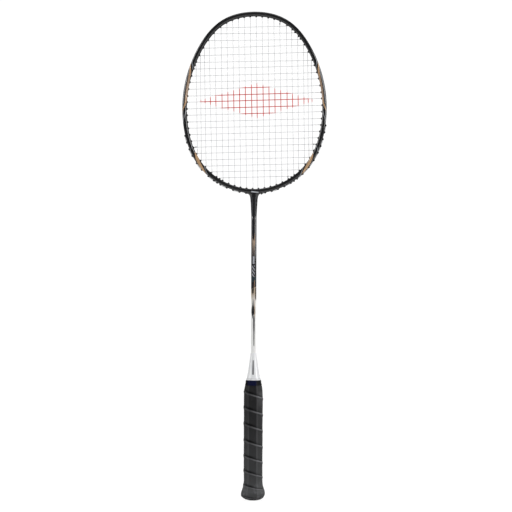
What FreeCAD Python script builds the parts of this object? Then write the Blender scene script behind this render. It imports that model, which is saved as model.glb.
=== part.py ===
import FreeCAD, Part
import os
import math

# Badminton racket, upright, millimetres. +Z runs from the butt to the crown of
# the head, X is across the head, Y is through the string bed (front face at -Y).
# The origin is the middle of the butt's resting face. Left is -X, right is +X.

os.makedirs("parts", exist_ok=True)
V = FreeCAD.Vector
PI = math.pi

# ---------------------------------------------------------------- dimensions
# Head outline: x = sum HEAD_SINES[k-1] sin(k t), z = sum HEAD_COSINES[k] cos(k t)
HEAD_SINES = (100.937, -1.576, 0.730, 1.638, -0.353, 0.804)
HEAD_COSINES = (549.122, 126.525, 0.190, -0.131, -0.012, -0.890, 0.195)

HOOP_W = 6.0            # hoop, in the plane of the strings
HOOP_D = 10.4           # hoop, through the string bed
HOOP_WALL_IN = 1.0      # wall on the string side
HOOP_WALL_OUT = 2.1     # wall on the outside, which carries the groove
HOOP_CAVITY_D = 8.2     # cavity, through the string bed
GROOVE_DEPTH = 1.3      # outer string groove, upper part of the head
GROOVE_W = 4.0
GROOVE_END_L = 511.6    # z where the groove runs out, left and right
GROOVE_END_R = 520.6

STRING_R = 0.34
BED_OFF = 0.36          # mains and crosses pass at +BED_OFF and -BED_OFF
WEAVE_H = BED_OFF + 0.045   # y of the weave's control points
# x of the right half's mains and z of the crosses, at the middle of the bed
MAINS = (4.2, 12.5, 20.8, 29.1, 37.4, 45.7, 54.0, 62.4, 69.6, 75.9, 81.8)
CROSSES = (655.0, 645.8, 636.4, 626.7, 617.7, 607.9, 598.8, 589.0, 580.3, 570.7,
           561.2, 552.7, 543.3, 534.4, 524.9, 516.2, 507.2, 498.2, 489.3, 479.9,
           471.2, 462.1, 452.8, 445.1)
MAIN_SKEW = 0.017       # the string bed sits slightly turned in the hoop
CROSS_SKEW = 0.024
BED_MID_Z = 549.0
KNOT_PER_TURN = 12      # control points per turn of a knot's coil
KNOT_STEPS = 28
KNOT_PITCH = 0.74

BORE_R = 0.75           # grommet bore
BARREL_R = 1.10
COLLAR_R = 1.45
TIP = 1.3               # how far a grommet stands proud on the string side
FLANGE_R = 1.6          # grommet head on the outside
FLANGE_T = 0.35
DOME_H = 1.45           # raised heads where there is no groove
CLEAR = 0.05
MERGE = 3.5             # string ends closer than this share a hole
HOLE_GAP = 4.0          # holes closer than this are eased apart
THROAT_LEAN = math.radians(33)

SHAFT_R = 3.6
SHAFT_BORE_R = 2.2
SHAFT_BOTTOM = 78.0
SHAFT_STEP_Z = 392.0    # above this the shaft is a spigot in the throat socket
SPIGOT_R = 3.1
SHAFT_TOP = 410.0

CONE_BASE_Z = 165.6
CONE_TOP_Z = 203.0
# (z, outer radius)
CONE_STATIONS = (
    (CONE_BASE_Z, 9.95), (167.3, 9.9), (168.3, 9.3), (171.5, 8.7), (176.2, 7.75),
    (180.4, 7.05), (184.5, 6.5), (188.7, 5.85), (192.8, 5.3), (198.0, 4.5), (CONE_TOP_Z, 3.95))

HANDLE_W = 25.9         # finished grip across the flats, X
HANDLE_D = 23.7         # finished grip across the flats, Y
HANDLE_BEVEL = 6.9      # corner bevel leg
BEVEL_SHRINK = 0.5858   # loss of bevel leg per unit the flats move inward
GRIP_T = 1.75           # grip thickness
GRIP_TOP = 161.4
GRIP_BOTTOM = 1.5
BUTT_W = 33.2           # widest point of the flare, X
BUTT_D = 30.2
BUTT_WIDE_Z = 8.4
CORE_BOTTOM = 26.0      # the handle core stands on the butt cap here
TENON_R = 7.3           # core tenon inside the cone
DISC_R = 5.4
TACK_Z = 15.0


# ------------------------------------------------------------------ head rim
def rim_tangent(t):
    dx = sum(a * k * math.cos(k * t) for k, a in enumerate(HEAD_SINES, 1))
    dz = sum(-c * k * math.sin(k * t) for k, c in enumerate(HEAD_COSINES))
    size = math.hypot(dx, dz)
    return V(dx / size, 0, dz / size)


def rim_normal(t):
    """Unit vector pointing out of the head."""
    tangent = rim_tangent(t)
    return V(-tangent.z, 0, tangent.x)


def rim(t, off=0.0):
    """A point on the outline moved outward by off; t = 0 at the crown, growing to +X."""
    x = sum(a * math.sin(k * t) for k, a in enumerate(HEAD_SINES, 1))
    z = sum(c * math.cos(k * t) for k, c in enumerate(HEAD_COSINES))
    return V(x, 0, z) + rim_normal(t) * off


def rim_edge(off, t0, t1, n):
    points = [rim(t0 + (t1 - t0) * i / n, off) for i in range(n + 1)]
    curve = Part.BSplineCurve()
    curve.interpolate(Points=points, InitialTangent=rim_tangent(t0), FinalTangent=rim_tangent(t1))
    return curve.toShape()


def rim_band(off0, off1, t0, t1, depth, n):
    """A band that follows the rim between two offsets, centred on the string plane."""
    edge0 = rim_edge(off0, t0, t1, n)
    edge1 = rim_edge(off1, t0, t1, n)
    start = Part.makeLine(rim(t0, off0), rim(t0, off1))
    end = Part.makeLine(rim(t1, off0), rim(t1, off1))
    face = Part.Face(Part.Wire(Part.__sortEdges__([edge0, end, edge1, start])))
    face.translate(V(0, -depth / 2.0, 0))
    return face.extrude(V(0, depth, 0))


# Running length along the string side of the rim, at even steps of t
ARC_STEPS = 7200


def running_length():
    inner = [rim(2 * PI * i / ARC_STEPS, -HOOP_W) for i in range(ARC_STEPS + 1)]
    lengths = [0.0]
    for p, q in zip(inner, inner[1:]):
        lengths.append(lengths[-1] + math.hypot(q.x - p.x, q.z - p.z))
    return lengths


ARC = running_length()


def arc_at(t):
    u = (t % (2 * PI)) / (2 * PI) * ARC_STEPS
    i = int(u)
    return ARC[i] + (ARC[min(i + 1, ARC_STEPS)] - ARC[i]) * (u - i)


def arc_between(t0, t1):
    return (arc_at(t1) - arc_at(t0)) % ARC[-1]


def crossing(line, span):
    """First t in the span where line(point) changes sign on the string side of the rim."""
    lo, hi = span
    n = 1400
    t_before, before = lo, line(rim(lo, -HOOP_W))
    for i in range(1, n + 1):
        t = lo + (hi - lo) * i / n
        value = line(rim(t, -HOOP_W))
        if (before <= 0 < value) or (before >= 0 > value):
            return t_before + (t - t_before) * (0 - before) / (value - before)
        t_before, before = t, value
    raise ValueError("a line misses the rim")


# ------------------------------------------------------- string ends and holes
# A string is (kind, index): mains count from the left, crosses from the top.
# A string end is (kind, index, end name).
MAIN_XS = sorted([-x for x in MAINS] + list(MAINS))
COUNT = {"main": len(MAIN_XS), "cross": len(CROSSES)}
END_NAMES = {"main": ("top", "bottom"), "cross": ("left", "right")}
BED_Y = {"main": BED_OFF, "cross": -BED_OFF}
# range of t in which each end is looked for
SPANS = {"top": (-PI / 2, PI / 2), "bottom": (PI / 2, 3 * PI / 2),
         "right": (0.02, PI - 0.02), "left": (PI + 0.02, 2 * PI - 0.02)}


def main_line(x0):
    return lambda p: p.x - (x0 - MAIN_SKEW * (p.z - BED_MID_Z))


def cross_line(z0):
    """Crosses above z = 600 are turned less and less."""
    skew = CROSS_SKEW if z0 < 600 else CROSS_SKEW - 0.012 * (z0 - 600) / 55.0
    return lambda p: p.z - (z0 + skew * p.x)


class Hole:
    """A drilled hole: its rim parameter t and the string ends it holds."""

    def __init__(self, t, ends):
        self.t = t
        self.ends = ends

    def settle(self, number):
        """Fix the place and direction once t is final."""
        self.number = number
        self.mouth = rim(self.t, -HOOP_W)       # on the string side
        self.axis = rim_normal(self.t)
        x, z = self.mouth.x, self.mouth.z
        if abs(x) < 9 and z < 450:              # beside the throat the bore leans outward
            lean = THROAT_LEAN * (1 if x > 0 else -1)
            self.axis = V(math.sin(lean), 0, -math.cos(lean))
        self.cosine = self.axis.dot(rim_normal(self.t))
        self.grooved = z > (GROOVE_END_R if x > 0 else GROOVE_END_L)
        self.wall = HOOP_W - GROOVE_DEPTH if self.grooved else HOOP_W
        # distance of a string's axis from the inner rim, outside the hoop
        self.string_height = self.wall + CLEAR + FLANGE_T + STRING_R + 0.03
        self.outer = self.mouth + self.axis * (self.string_height / self.cosine)
        self.bend = self.mouth - self.axis * (TIP + 0.35)

    def placed(self, shape):
        return place(shape, self.mouth, self.axis)


def string_ends():
    """(t, string end) of every end, in order round the rim."""
    lines = {("main", i): main_line(x0) for i, x0 in enumerate(MAIN_XS)}
    lines.update({("cross", j): cross_line(z0) for j, z0 in enumerate(CROSSES)})
    ends = []
    for (kind, index), line in lines.items():
        for name in END_NAMES[kind]:
            ends.append((crossing(line, SPANS[name]) % (2 * PI), (kind, index, name)))
    return sorted(ends)


def make_holes():
    ends = string_ends()
    # neighbouring ends of a main and a cross share a hole, closest pairs first
    pairs = []
    for a in range(len(ends)):
        b = (a + 1) % len(ends)
        if ends[a][1][0] != ends[b][1][0]:
            gap = arc_between(ends[a][0], ends[b][0])
            if gap < MERGE:
                pairs.append((gap, a, b))
    result = []
    used = set()
    for _, a, b in sorted(pairs):
        if a not in used and b not in used:
            used.update((a, b))
            ta, tb = ends[a][0], ends[b][0]
            if tb < ta:
                tb += 2 * PI
            result.append(Hole(((ta + tb) / 2) % (2 * PI), [ends[a][1], ends[b][1]]))
    for a, (t, end) in enumerate(ends):
        if a not in used:
            result.append(Hole(t, [end]))
    result.sort(key=lambda hole: hole.t)

    # holes that would leave too little material between them are eased apart
    for _ in range(60):
        for a in range(len(result)):
            b = (a + 1) % len(result)
            gap = arc_between(result[a].t, result[b].t)
            if gap < HOLE_GAP:
                push = (HOLE_GAP - gap) * 0.26 / ARC[-1] * 2 * PI
                result[a].t -= push
                result[b].t += push
    for number, hole in enumerate(result):
        hole.settle(number)
    return result


holes = make_holes()
hole_of = {end: hole for hole in holes for end in hole.ends}


def tie_hole(kind, index, step):
    """The nearest hole along the rim from a bottom or right end, with only the other kind."""
    n = hole_of[(kind, index, END_NAMES[kind][1])].number
    near = (holes[(n + step * k) % len(holes)] for k in range(1, 8))
    return next(hole for hole in near if all(end[0] != kind for end in hole.ends))


# where each length of string is tied off: its start and its finish
ties = {"main": (tie_hole("main", 0, +1), tie_hole("main", COUNT["main"] - 1, -1)),
        "cross": (tie_hole("cross", 0, -1), tie_hole("cross", COUNT["cross"] - 1, +1))}
tie_holes = [hole for pair in ties.values() for hole in pair]


# ------------------------------------------------------------- string paths
def meeting(a, b, c, d):
    """Fractions along a-b and c-d where the segments cross in XZ, or None."""
    r, s, q = b - a, d - c, c - a
    den = r.x * s.z - r.z * s.x
    if abs(den) < 1e-9:
        return None
    u = (q.x * s.z - q.z * s.x) / den
    w = (q.x * r.z - q.z * r.x) / den
    if 0 < u < 1 and 0 < w < 1:
        return u, w
    return None


# the two bends of every run across the head: top to bottom, left to right
runs = {(kind, i): tuple(hole_of[(kind, i, name)].bend for name in END_NAMES[kind])
        for kind in COUNT for i in range(COUNT[kind])}


def weave():
    """For every run, its crossings as (fraction along it, side of the bed in Y)."""
    hits = {key: [] for key in runs}
    for i in range(COUNT["main"]):
        for j in range(COUNT["cross"]):
            main, cross = runs[("main", i)], runs[("cross", j)]
            found = meeting(*main, *cross)
            if not found:
                continue
            u, w = found
            main_len = (main[1] - main[0]).Length
            cross_len = (cross[1] - cross[0]).Length
            near = min(u * main_len, (1 - u) * main_len, w * cross_len, (1 - w) * cross_len)
            # close to a hole the strings keep their own sides
            side = 1 if (i + j) % 2 == 0 or near < 4.2 else -1
            hits[("main", i)].append((u, side))
            hits[("cross", j)].append((w, -side))
    return hits


hits = weave()


def run_points(key):
    """Control points of one woven run, from its first end to its second."""
    a, b = runs[key]
    y_off = V(0, BED_Y[key[0]], 0)
    length = (b - a).Length
    along = (b - a).normalize()
    points = [a + along * 0.9 + y_off]
    for u, side in sorted(hits[key]):
        for s in (u * length - 1.15, u * length + 1.15):
            if 1.6 < s < length - 1.6:
                points.append(a + along * s + V(0, side * WEAVE_H, 0))
    points.append(b - along * 0.9 + y_off)
    return points


def hole_points(hole, y, outward):
    """Control points through one hole."""
    k = (hole.outer - hole.mouth).Length
    middle = [hole.mouth + hole.axis * s for s in (-0.6, 1.2, k * 0.55, k - 0.9)]
    points = [p + V(0, y, 0) for p in [hole.bend] + middle + [hole.outer]]
    return points if outward else points[::-1]


def loop_points(hole0, hole1, y):
    """Control points along the outside of the hoop between two holes."""
    t0, t1 = hole0.t, hole1.t
    if t1 - t0 > PI:
        t1 -= 2 * PI
    if t0 - t1 > PI:
        t1 += 2 * PI
    length = arc_between(min(t0, t1), max(t0, t1))
    off = max(hole0.string_height, hole1.string_height) - HOOP_W
    # ease into the two exits, which may lean
    shift0 = hole0.outer - rim(t0, off)
    shift1 = hole1.outer - rim(t1, off)
    n = max(3, int(length / 2.6))
    lead = 1.0 / max(length, 3.0)
    points = []
    for i in range(n + 1):
        f = lead + (1 - 2 * lead) * i / n
        on_rim = rim(t0 + (t1 - t0) * f, off)
        points.append(on_rim + shift0 * (1 - f) + shift1 * f + V(0, y, 0))
    return points


def string_path(kind):
    """Control points of one length of string, and where to divide its surface."""
    y = BED_Y[kind]
    last, finish = ties[kind]
    points = hole_points(last, y, True)[1:]
    cuts = []
    for i in range(COUNT[kind]):
        # even runs go from bottom to top, or from right to left
        forward = i % 2 == 1
        first_end, second_end = (hole_of[(kind, i, name)] for name in END_NAMES[kind])
        entry, leave = (first_end, second_end) if forward else (second_end, first_end)
        points += loop_points(last, entry, y)
        points += hole_points(entry, y, False)
        cuts.append(len(points) - 3)
        run = run_points((kind, i))
        points += run if forward else run[::-1]
        cuts.append(len(points) + 3)
        points += hole_points(leave, y, True)
        last = leave
    points += loop_points(last, finish, y)
    points += hole_points(finish, y, False)[:-1]
    return points, cuts


# ------------------------------------------------------------- spline solids
def patches(surface, us, vs):
    """Faces of the surface between successive u and v values."""
    faces = []
    for u0, u1 in zip(us, us[1:]):
        for v0, v1 in zip(vs, vs[1:]):
            patch = surface.copy()
            patch.segment(u0, u1, v0, v1)
            faces.append(patch.toShape())
    return faces


def closed_solid(faces):
    shell = Part.makeShell(faces)
    shell.sewShape()
    if shell.ShapeType != "Shell":      # sewing may wrap the shell in a compound
        shell = shell.Shells[0]
    solid = Part.makeSolid(shell)
    if solid.Volume < 0:
        solid.reverse()
    return solid


def tube(points, axis, marks, sectors):
    """A round string along a control polygon that nowhere runs along the axis.

    The surface is divided at the u values in marks and into sectors round the string.
    """
    n = len(points)
    poles_round = 8
    pole_r = STRING_R / 0.9020          # the spline runs inside its poles
    grid = []
    for i in range(n):
        tangent = (points[min(n - 1, i + 1)] - points[max(0, i - 1)]).normalize()
        n1 = axis.cross(tangent).normalize()
        n2 = tangent.cross(n1).normalize()
        angles = [2 * PI * k / poles_round for k in range(poles_round)]
        grid.append([points[i] + n1 * (pole_r * math.cos(w)) + n2 * (pole_r * math.sin(w))
                     for w in angles])
    knots = n - 2
    surface = Part.BSplineSurface()
    surface.buildFromPolesMultsKnots(
        grid, [4] + [1] * (knots - 2) + [4], [1] * (poles_round + 1),
        [float(i) for i in range(knots)], [float(i) for i in range(poles_round + 1)],
        False, True, 3, 3)
    vs = [float(poles_round) * i / sectors for i in range(sectors + 1)]
    faces = patches(surface, marks, vs)
    for u in (marks[0], marks[-1]):
        circle = surface.uIso(u)
        arcs = [Part.Edge(circle, v0, v1) for v0, v1 in zip(vs, vs[1:])]
        faces.append(Part.Face(Part.Wire(arcs)))
    return closed_solid(faces)


def make_string(kind):
    points, cuts = string_path(kind)
    end = len(points) - 3
    inner = [float(min(max(c, 1), end - 1)) for c in cuts]
    marks = sorted(set([0.0] + inner + [float(end)]))
    return tube(points, V(0, 1, 0), marks, sectors=1)


def knot(hole):
    """A tight coil round the run that shares the tie-off hole, with a short tail."""
    kind, index, _ = hole.ends[0]
    a, b = runs[(kind, index)]
    if (b - hole.bend).Length < (a - hole.bend).Length:
        a, b = b, a
    along = (b - a).normalize()
    n1 = V(0, 1, 0)
    n2 = along.cross(n1)
    coil_r = (2 * STRING_R + 0.05) * 1.05
    points = []
    for i in range(KNOT_STEPS + 1):
        w = 2 * PI * i / KNOT_PER_TURN
        points.append(a + along * (1.15 + KNOT_PITCH * i / KNOT_PER_TURN)
                      + V(0, BED_Y[kind], 0)
                      + n1 * (coil_r * math.cos(w)) + n2 * (coil_r * math.sin(w)))
    w = 2 * PI * KNOT_STEPS / KNOT_PER_TURN
    tail = (n1 * -math.sin(w) + n2 * math.cos(w)).normalize()
    coil_end = points[-1]
    for k in (0.5, 1.1, 1.8):
        points.append(coil_end + tail * k + along * (0.16 * k))
    marks = [float(i) for i in range(len(points) - 2)]
    return tube(points, along, marks, sectors=6)


def make_knots(kind):
    return Part.makeCompound([knot(hole) for hole in ties[kind]])


# ------------------------------------------------------------------- helpers
def place(shape, origin, direction):
    """Local z to the direction, local y to the racket's y, local origin to the given one."""
    az = V(direction).normalize()
    ay = V(0, 1, 0)
    ax = ay.cross(az).normalize()
    matrix = FreeCAD.Matrix(ax.x, ay.x, az.x, origin.x,
                            ax.y, ay.y, az.y, origin.y,
                            ax.z, ay.z, az.z, origin.z,
                            0, 0, 0, 1)
    placed = shape.copy()
    placed.Placement = FreeCAD.Placement(matrix)
    return placed


def cyl(r, z0, z1):
    return Part.makeCylinder(r, z1 - z0, V(0, 0, z0))


def revolve(profile):
    """Solid of revolution about Z from (r, z) points, closed onto itself."""
    points = [V(r, 0, z) for r, z in profile]
    face = Part.Face(Part.makePolygon(points + [points[0]]))
    return face.revolve(V(0, 0, 0), V(0, 0, 1), 360)


def largest(shape):
    return max(shape.Solids, key=lambda solid: solid.Volume)


# ---------------------------------------------------------------- head frame
THROAT_Z = rim(PI).z    # bottom of the head outline


def hoop_ring(half):
    """A closed ring round the head; half holds (outward, y) poles about the hoop's middle."""
    section = half + [(out, -y) for out, y in reversed(half)]
    rows, columns = 144, len(section)
    grid = []
    for i in range(rows):
        t = 2 * PI * i / rows
        grid.append([rim(t, -HOOP_W / 2.0 + out) + V(0, y, 0) for out, y in section])
    surface = Part.BSplineSurface()
    surface.buildFromPolesMultsKnots(
        grid, [1] * (rows + 1), [1] * (columns + 1),
        [float(i) for i in range(rows + 1)], [float(i) for i in range(columns + 1)],
        True, True, 3, 3)
    quarters = [float(rows * i // 4) for i in range(5)]
    return closed_solid(patches(surface, quarters, [0.0, float(columns)]))


def make_throat():
    """Flares from the shaft's diameter into the hoop."""
    # (z, half width in X, half depth in Y)
    stations = ((SHAFT_STEP_Z, 3.7, 3.69), (398.0, 3.95, 3.94), (404.0, 4.25, 4.2),
                (410.0, 4.6, 4.5), (416.0, 5.05, 4.75), (420.5, 5.9, 4.9),
                (THROAT_Z - 0.6, 8.2, 5.0), (THROAT_Z + 1.2, 12.0, 4.9))
    wires = [Part.Wire(Part.Ellipse(V(0, 0, z), a, b).toShape()) for z, a, b in stations]
    return Part.makeLoft(wires, True, False)


def make_head():
    hw, hd = HOOP_W / 2.0, HOOP_D / 2.0
    hoop = hoop_ring([(hw, 0.9), (hw, 2.6), (hw - 0.25, 4.1), (1.5, hd), (0.0, hd), (-1.5, hd),
                      (-hw + 0.25, 4.1), (-hw, 2.4), (-hw, 0.8)])
    inner, outer, cd = -hw + HOOP_WALL_IN, hw - HOOP_WALL_OUT, HOOP_CAVITY_D / 2.0
    cavity = hoop_ring([(outer, 0.8), (outer, 2.2), (outer - 0.2, 3.4), (-0.1, cd), (-1.1, cd),
                        (inner + 0.1, 3.4), (inner, 2.2), (inner, 0.8)])
    head = hoop.fuse(make_throat())
    head = head.cut(cavity)
    head = head.cut(cyl(SPIGOT_R, SHAFT_STEP_Z - 1, THROAT_Z + 2.6))
    # groove: from its left end, over the crown, to its right end
    t_right = crossing(lambda p: p.z - GROOVE_END_R, SPANS["right"])
    t_left = crossing(lambda p: p.z - GROOVE_END_L, SPANS["left"])
    head = head.cut(rim_band(-GROOVE_DEPTH, 2.0, t_left - 2 * PI, t_right, GROOVE_W, 60))
    drill = cyl(BARREL_R + CLEAR, -1.5, 10.5)
    head = head.cut([hole.placed(drill) for hole in holes])
    return largest(head)


def make_t_joint():
    """Stem in the shaft's bore, arms in the hoop's cavity."""
    gap = 0.12
    arms = rim_band(-(HOOP_WALL_OUT + gap), -(HOOP_W - HOOP_WALL_IN - gap),
                    PI - 0.30, PI + 0.30, HOOP_CAVITY_D - 2.6, 12)
    stem = cyl(SPIGOT_R - 0.06, SHAFT_TOP + 0.06, THROAT_Z + 3.2)
    stem = stem.fuse(cyl(SHAFT_BORE_R - 0.05, 384.0, SHAFT_TOP + 1.0))
    joint = arms.fuse(stem)
    drill = cyl(BARREL_R + 2 * CLEAR, -1.5, 10.5)
    for hole in holes:
        if abs(hole.mouth.x) < 40 and hole.mouth.z < 450:
            joint = joint.cut(hole.placed(drill))
    return joint


# --------------------------------------------------------------------- shaft
def make_shaft():
    shaft = cyl(SHAFT_R, SHAFT_BOTTOM, SHAFT_STEP_Z - 0.02)
    shaft = shaft.fuse(cyl(SPIGOT_R - 0.03, SHAFT_STEP_Z - 1, SHAFT_TOP))
    return shaft.cut(cyl(SHAFT_BORE_R, SHAFT_BOTTOM - 1, SHAFT_TOP + 1)).removeSplitter()


def make_shaft_plug():
    """Closes the shaft's lower end."""
    base = SHAFT_BOTTOM - 1.6
    plug = cyl(SHAFT_BORE_R - 0.04, base, SHAFT_BOTTOM + 14)
    return plug.fuse(cyl(SHAFT_R - 0.1, base, SHAFT_BOTTOM - 0.05))


# ------------------------------------------------------------------ grommets
def grommet(hole, flange_lift=0.0):
    """Local z runs outward from the string side; flange_lift raises a flange's underside."""
    top = hole.wall + CLEAR
    if hole.cosine < 0.99:              # a leaning bore is longer
        top = top / hole.cosine + 0.75
    body = cyl(BARREL_R, -0.4, top + 0.15)
    body = body.fuse(revolve([
        (0.4, -0.07), (COLLAR_R, -0.07), (COLLAR_R, -0.55), (COLLAR_R - 0.18, -TIP + 0.12),
        (COLLAR_R - 0.4, -TIP), (0.4, -TIP)]))
    if hole.grooved:
        body = body.fuse(cyl(FLANGE_R, top + flange_lift, top + FLANGE_T))
    else:
        dome = revolve([
            (0.4, top), (FLANGE_R, top), (FLANGE_R, top + DOME_H * 0.55),
            (FLANGE_R - 0.3, top + DOME_H * 0.9), (FLANGE_R - 0.65, top + DOME_H),
            (0.4, top + DOME_H)])
        # slot along the rim for the string
        dome = dome.cut(Part.makeBox(8, 1.7, 3, V(-4, -0.85, top + FLANGE_T)))
        body = body.fuse(dome)
    body = body.cut(cyl(BORE_R, -3, top + 4))
    return hole.placed(body)


def crown_strip(group):
    """Grommets joined by a thin base that lies along the bottom of the groove."""
    off = -GROOVE_DEPTH + CLEAR
    ts = [hole.t - 2 * PI if hole.t > PI else hole.t for hole in group]
    base = rim_band(off, off + 0.22, min(ts), max(ts), 2 * FLANGE_R - 0.7, 24)
    base = base.multiFuse([grommet(hole, flange_lift=0.07) for hole in group])
    base = base.cut([hole.placed(cyl(BORE_R, -3, 12)) for hole in group])
    return base.Solids[0]


def grommet_group(hole):
    x, z = hole.mouth.x, hole.mouth.z
    side = "right" if x > 0 else "left"
    if hole in tie_holes:
        return "tie_off_grommets"
    if hole.grooved and z > 600:
        return "crown_grommet_strip" if abs(x) < 34 else side + "_shoulder_grommets"
    if hole.grooved:
        return side + "_side_grommets"
    if abs(x) < 36 and z < 450:
        return side + "_throat_grommets"
    return side + "_lower_grommets"


def make_grommets():
    groups = {}
    for hole in holes:
        groups.setdefault(grommet_group(hole), []).append(hole)
    strip = crown_strip(groups.pop("crown_grommet_strip"))
    pieces = {name: Part.makeCompound([grommet(hole) for hole in group])
              for name, group in groups.items()}
    pieces["crown_grommet_strip"] = strip
    return pieces


# ----------------------------------------------------------- handle sections
# A section is (z, width in X, depth in Y, bevel leg).
def octagon(z, w, d, bevel):
    a, b = w / 2.0, d / 2.0
    corners = [(a - bevel, -b), (a, -b + bevel), (a, b - bevel), (a - bevel, b),
               (-a + bevel, b), (-a, b - bevel), (-a, -b + bevel), (-a + bevel, -b)]
    points = [V(x, y, z) for x, y in corners]
    return Part.makePolygon(points + [points[0]])


def octa_prism(sections):
    """Ruled solid through octagons."""
    return Part.makeLoft([octagon(*section) for section in sections], True, True)


def bevelled(stations):
    """Sections from (z, width, depth), with the bevel in proportion to the width."""
    return [(z, w, d, HANDLE_BEVEL * w / HANDLE_W) for z, w, d in stations]


def shrink(sections, k):
    return [(z, w - 2 * k, d - 2 * k, bevel - k * BEVEL_SHRINK) for z, w, d, bevel in sections]


def section_at(sections, z):
    """The section at z, interpolated between its neighbours."""
    low, high = next(pair for pair in zip(sections, sections[1:])
                     if pair[0][0] <= z <= pair[1][0])
    f = (z - low[0]) / (high[0] - low[0])
    return (z,) + tuple(p + (q - p) * f for p, q in zip(low[1:], high[1:]))


GRIP_OUTER = bevelled((
    (GRIP_BOTTOM, 22.6, 20.2), (3.0, 27.4, 24.8), (4.8, 30.9, 28.0), (6.6, 32.7, 29.7),
    (BUTT_WIDE_Z, BUTT_W, BUTT_D), (10.4, 32.7, 29.8), (13.1, 31.2, 28.4), (15.9, 29.2, 26.6),
    (18.6, 27.6, 25.2), (21.4, 26.4, 24.2), (27.0, 25.4, 23.4), (60.0, 25.6, 23.5),
    (142.0, HANDLE_W, HANDLE_D), (150.0, 25.3, 23.3), (155.5, 24.1, 22.4),
    (158.3, 22.7, 21.4), (GRIP_TOP, 20.6, 20.2)))
GRIP_INNER = shrink(GRIP_OUTER, GRIP_T)
CORE = shrink(GRIP_INNER, 0.04)
CORE_TOP_SIZE = CORE[-1][1:]    # kept from the grip's top edge up to the cone


# ------------------------------------------------------------- handle pieces
def make_grip():
    first, last = GRIP_INNER[0], GRIP_INNER[-1]
    # the inside runs 1 mm past both ends so that the cut is clean
    inside = [(first[0] - 1,) + first[1:]] + GRIP_INNER + [(last[0] + 1,) + last[1:]]
    return octa_prism(GRIP_OUTER).cut(octa_prism(inside))


def make_core():
    sections = [section_at(CORE, CORE_BOTTOM)] + [s for s in CORE if s[0] > CORE_BOTTOM]
    sections[-1] = (CONE_BASE_Z - 0.1,) + CORE_TOP_SIZE
    core = octa_prism(sections)
    core = core.fuse(cyl(TENON_R, CONE_BASE_Z - 1, CONE_BASE_Z + 8.0))
    core = core.cut(cyl(SHAFT_R + 0.03, SHAFT_BOTTOM - 2.0, CONE_TOP_Z))
    return core.cut(cyl(5.2, CORE_BOTTOM - 1, CORE_BOTTOM + 22.0))


def place_tack(shape):
    """On the +X side of the butt cap, local z pointing to the middle."""
    x = section_at(GRIP_INNER, TACK_Z)[1] / 2.0 - 0.62
    return place(shape, V(x, 0, TACK_Z), V(-1, 0, 0))


def make_tack():
    """Headed tack between the grip and the butt cap."""
    return place_tack(cyl(0.55, 0, 5.0).fuse(cyl(1.7, -0.01, 0.45)))


def make_butt_cap():
    """Flared shell with a spigot into the core."""
    sections = [s for s in CORE if s[0] < CORE_BOTTOM] + [section_at(CORE, CORE_BOTTOM - 0.05)]
    cap = octa_prism(sections)
    _, w, d, _ = sections[0]
    cap = cap.fuse(octa_prism(bevelled((
        (0.0, 14.2, 12.6), (0.4, 16.2, 14.2), (0.9, 17.2, 15.0), (GRIP_BOTTOM, w, d)))))
    # hollow with a conical roof
    cap = cap.cut(cyl(8.0, 5.0, CORE_BOTTOM - 4.9))
    cap = cap.cut(Part.makeCone(8.0, 4.6, 4.9, V(0, 0, CORE_BOTTOM - 5.0)))
    # hollow spigot
    cap = cap.fuse(cyl(5.15, CORE_BOTTOM - 0.1, CORE_BOTTOM + 12.0))
    cap = cap.cut(cyl(3.4, 6.0, CORE_BOTTOM + 14))
    # recess for the end disc
    cap = cap.cut(cyl(DISC_R + CLEAR, -1, 0.85))
    # room for the tack and its head
    cap = cap.cut(place_tack(cyl(0.6, -1, 5.6).fuse(cyl(1.8, -3.0, 0.55))))
    return largest(cap)


def make_cone():
    shaft_hole_r = SHAFT_R + 0.05
    socket_r = TENON_R + 0.05
    profile = [(shaft_hole_r, CONE_TOP_Z)] + [(r, z) for z, r in reversed(CONE_STATIONS)]
    profile += [(socket_r, CONE_BASE_Z), (socket_r, CONE_BASE_Z + 8.4),
                (4.6, CONE_BASE_Z + 14.0), (shaft_hole_r, CONE_BASE_Z + 20.0)]
    return revolve(profile)


def make_tape():
    """A closed band over the grip's top edge and the packing ring."""
    outer = octa_prism(bevelled((
        (158.9, 22.8, 21.75), (GRIP_TOP, 21.1, 20.7), (CONE_BASE_Z - 0.4, 20.6, 20.2))))
    inner = octa_prism(bevelled((
        (158.3, 22.82, 21.52), (GRIP_TOP, 20.72, 20.32), (CONE_BASE_Z + 0.3, 20.24, 19.84))))
    return outer.cut(inner)


def make_packing_ring():
    """Under the tape, between the grip's top edge and the cone."""
    ring = octa_prism(bevelled((
        (GRIP_TOP + 0.05, 20.60, 20.20), (CONE_BASE_Z - 0.1, 20.16, 19.76))))
    w, d, bevel = CORE_TOP_SIZE
    return ring.cut(octa_prism([(z, w + 0.06, d + 0.06, bevel + 0.02)
                                for z in (GRIP_TOP - 1, CONE_BASE_Z + 1)]))


# -------------------------------------------------------------------- export
pieces = make_grommets()
pieces.update({
    "head_frame": make_head(),
    "t_joint": make_t_joint(),
    "shaft": make_shaft(),
    "shaft_end_plug": make_shaft_plug(),
    "main_string": make_string("main"),
    "cross_string": make_string("cross"),
    "main_string_knots": make_knots("main"),
    "cross_string_knots": make_knots("cross"),
    "cone_cap": make_cone(),
    "handle_core": make_core(),
    "grip_wrap": make_grip(),
    "grip_finishing_tape": make_tape(),
    "grip_packing_ring": make_packing_ring(),
    "butt_cap": make_butt_cap(),
    "butt_end_disc": cyl(DISC_R, 0.0, 0.80),
    "grip_tack": make_tack(),
})
for name, shape in pieces.items():
    shape.exportStep("parts/%s.step" % name)
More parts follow.
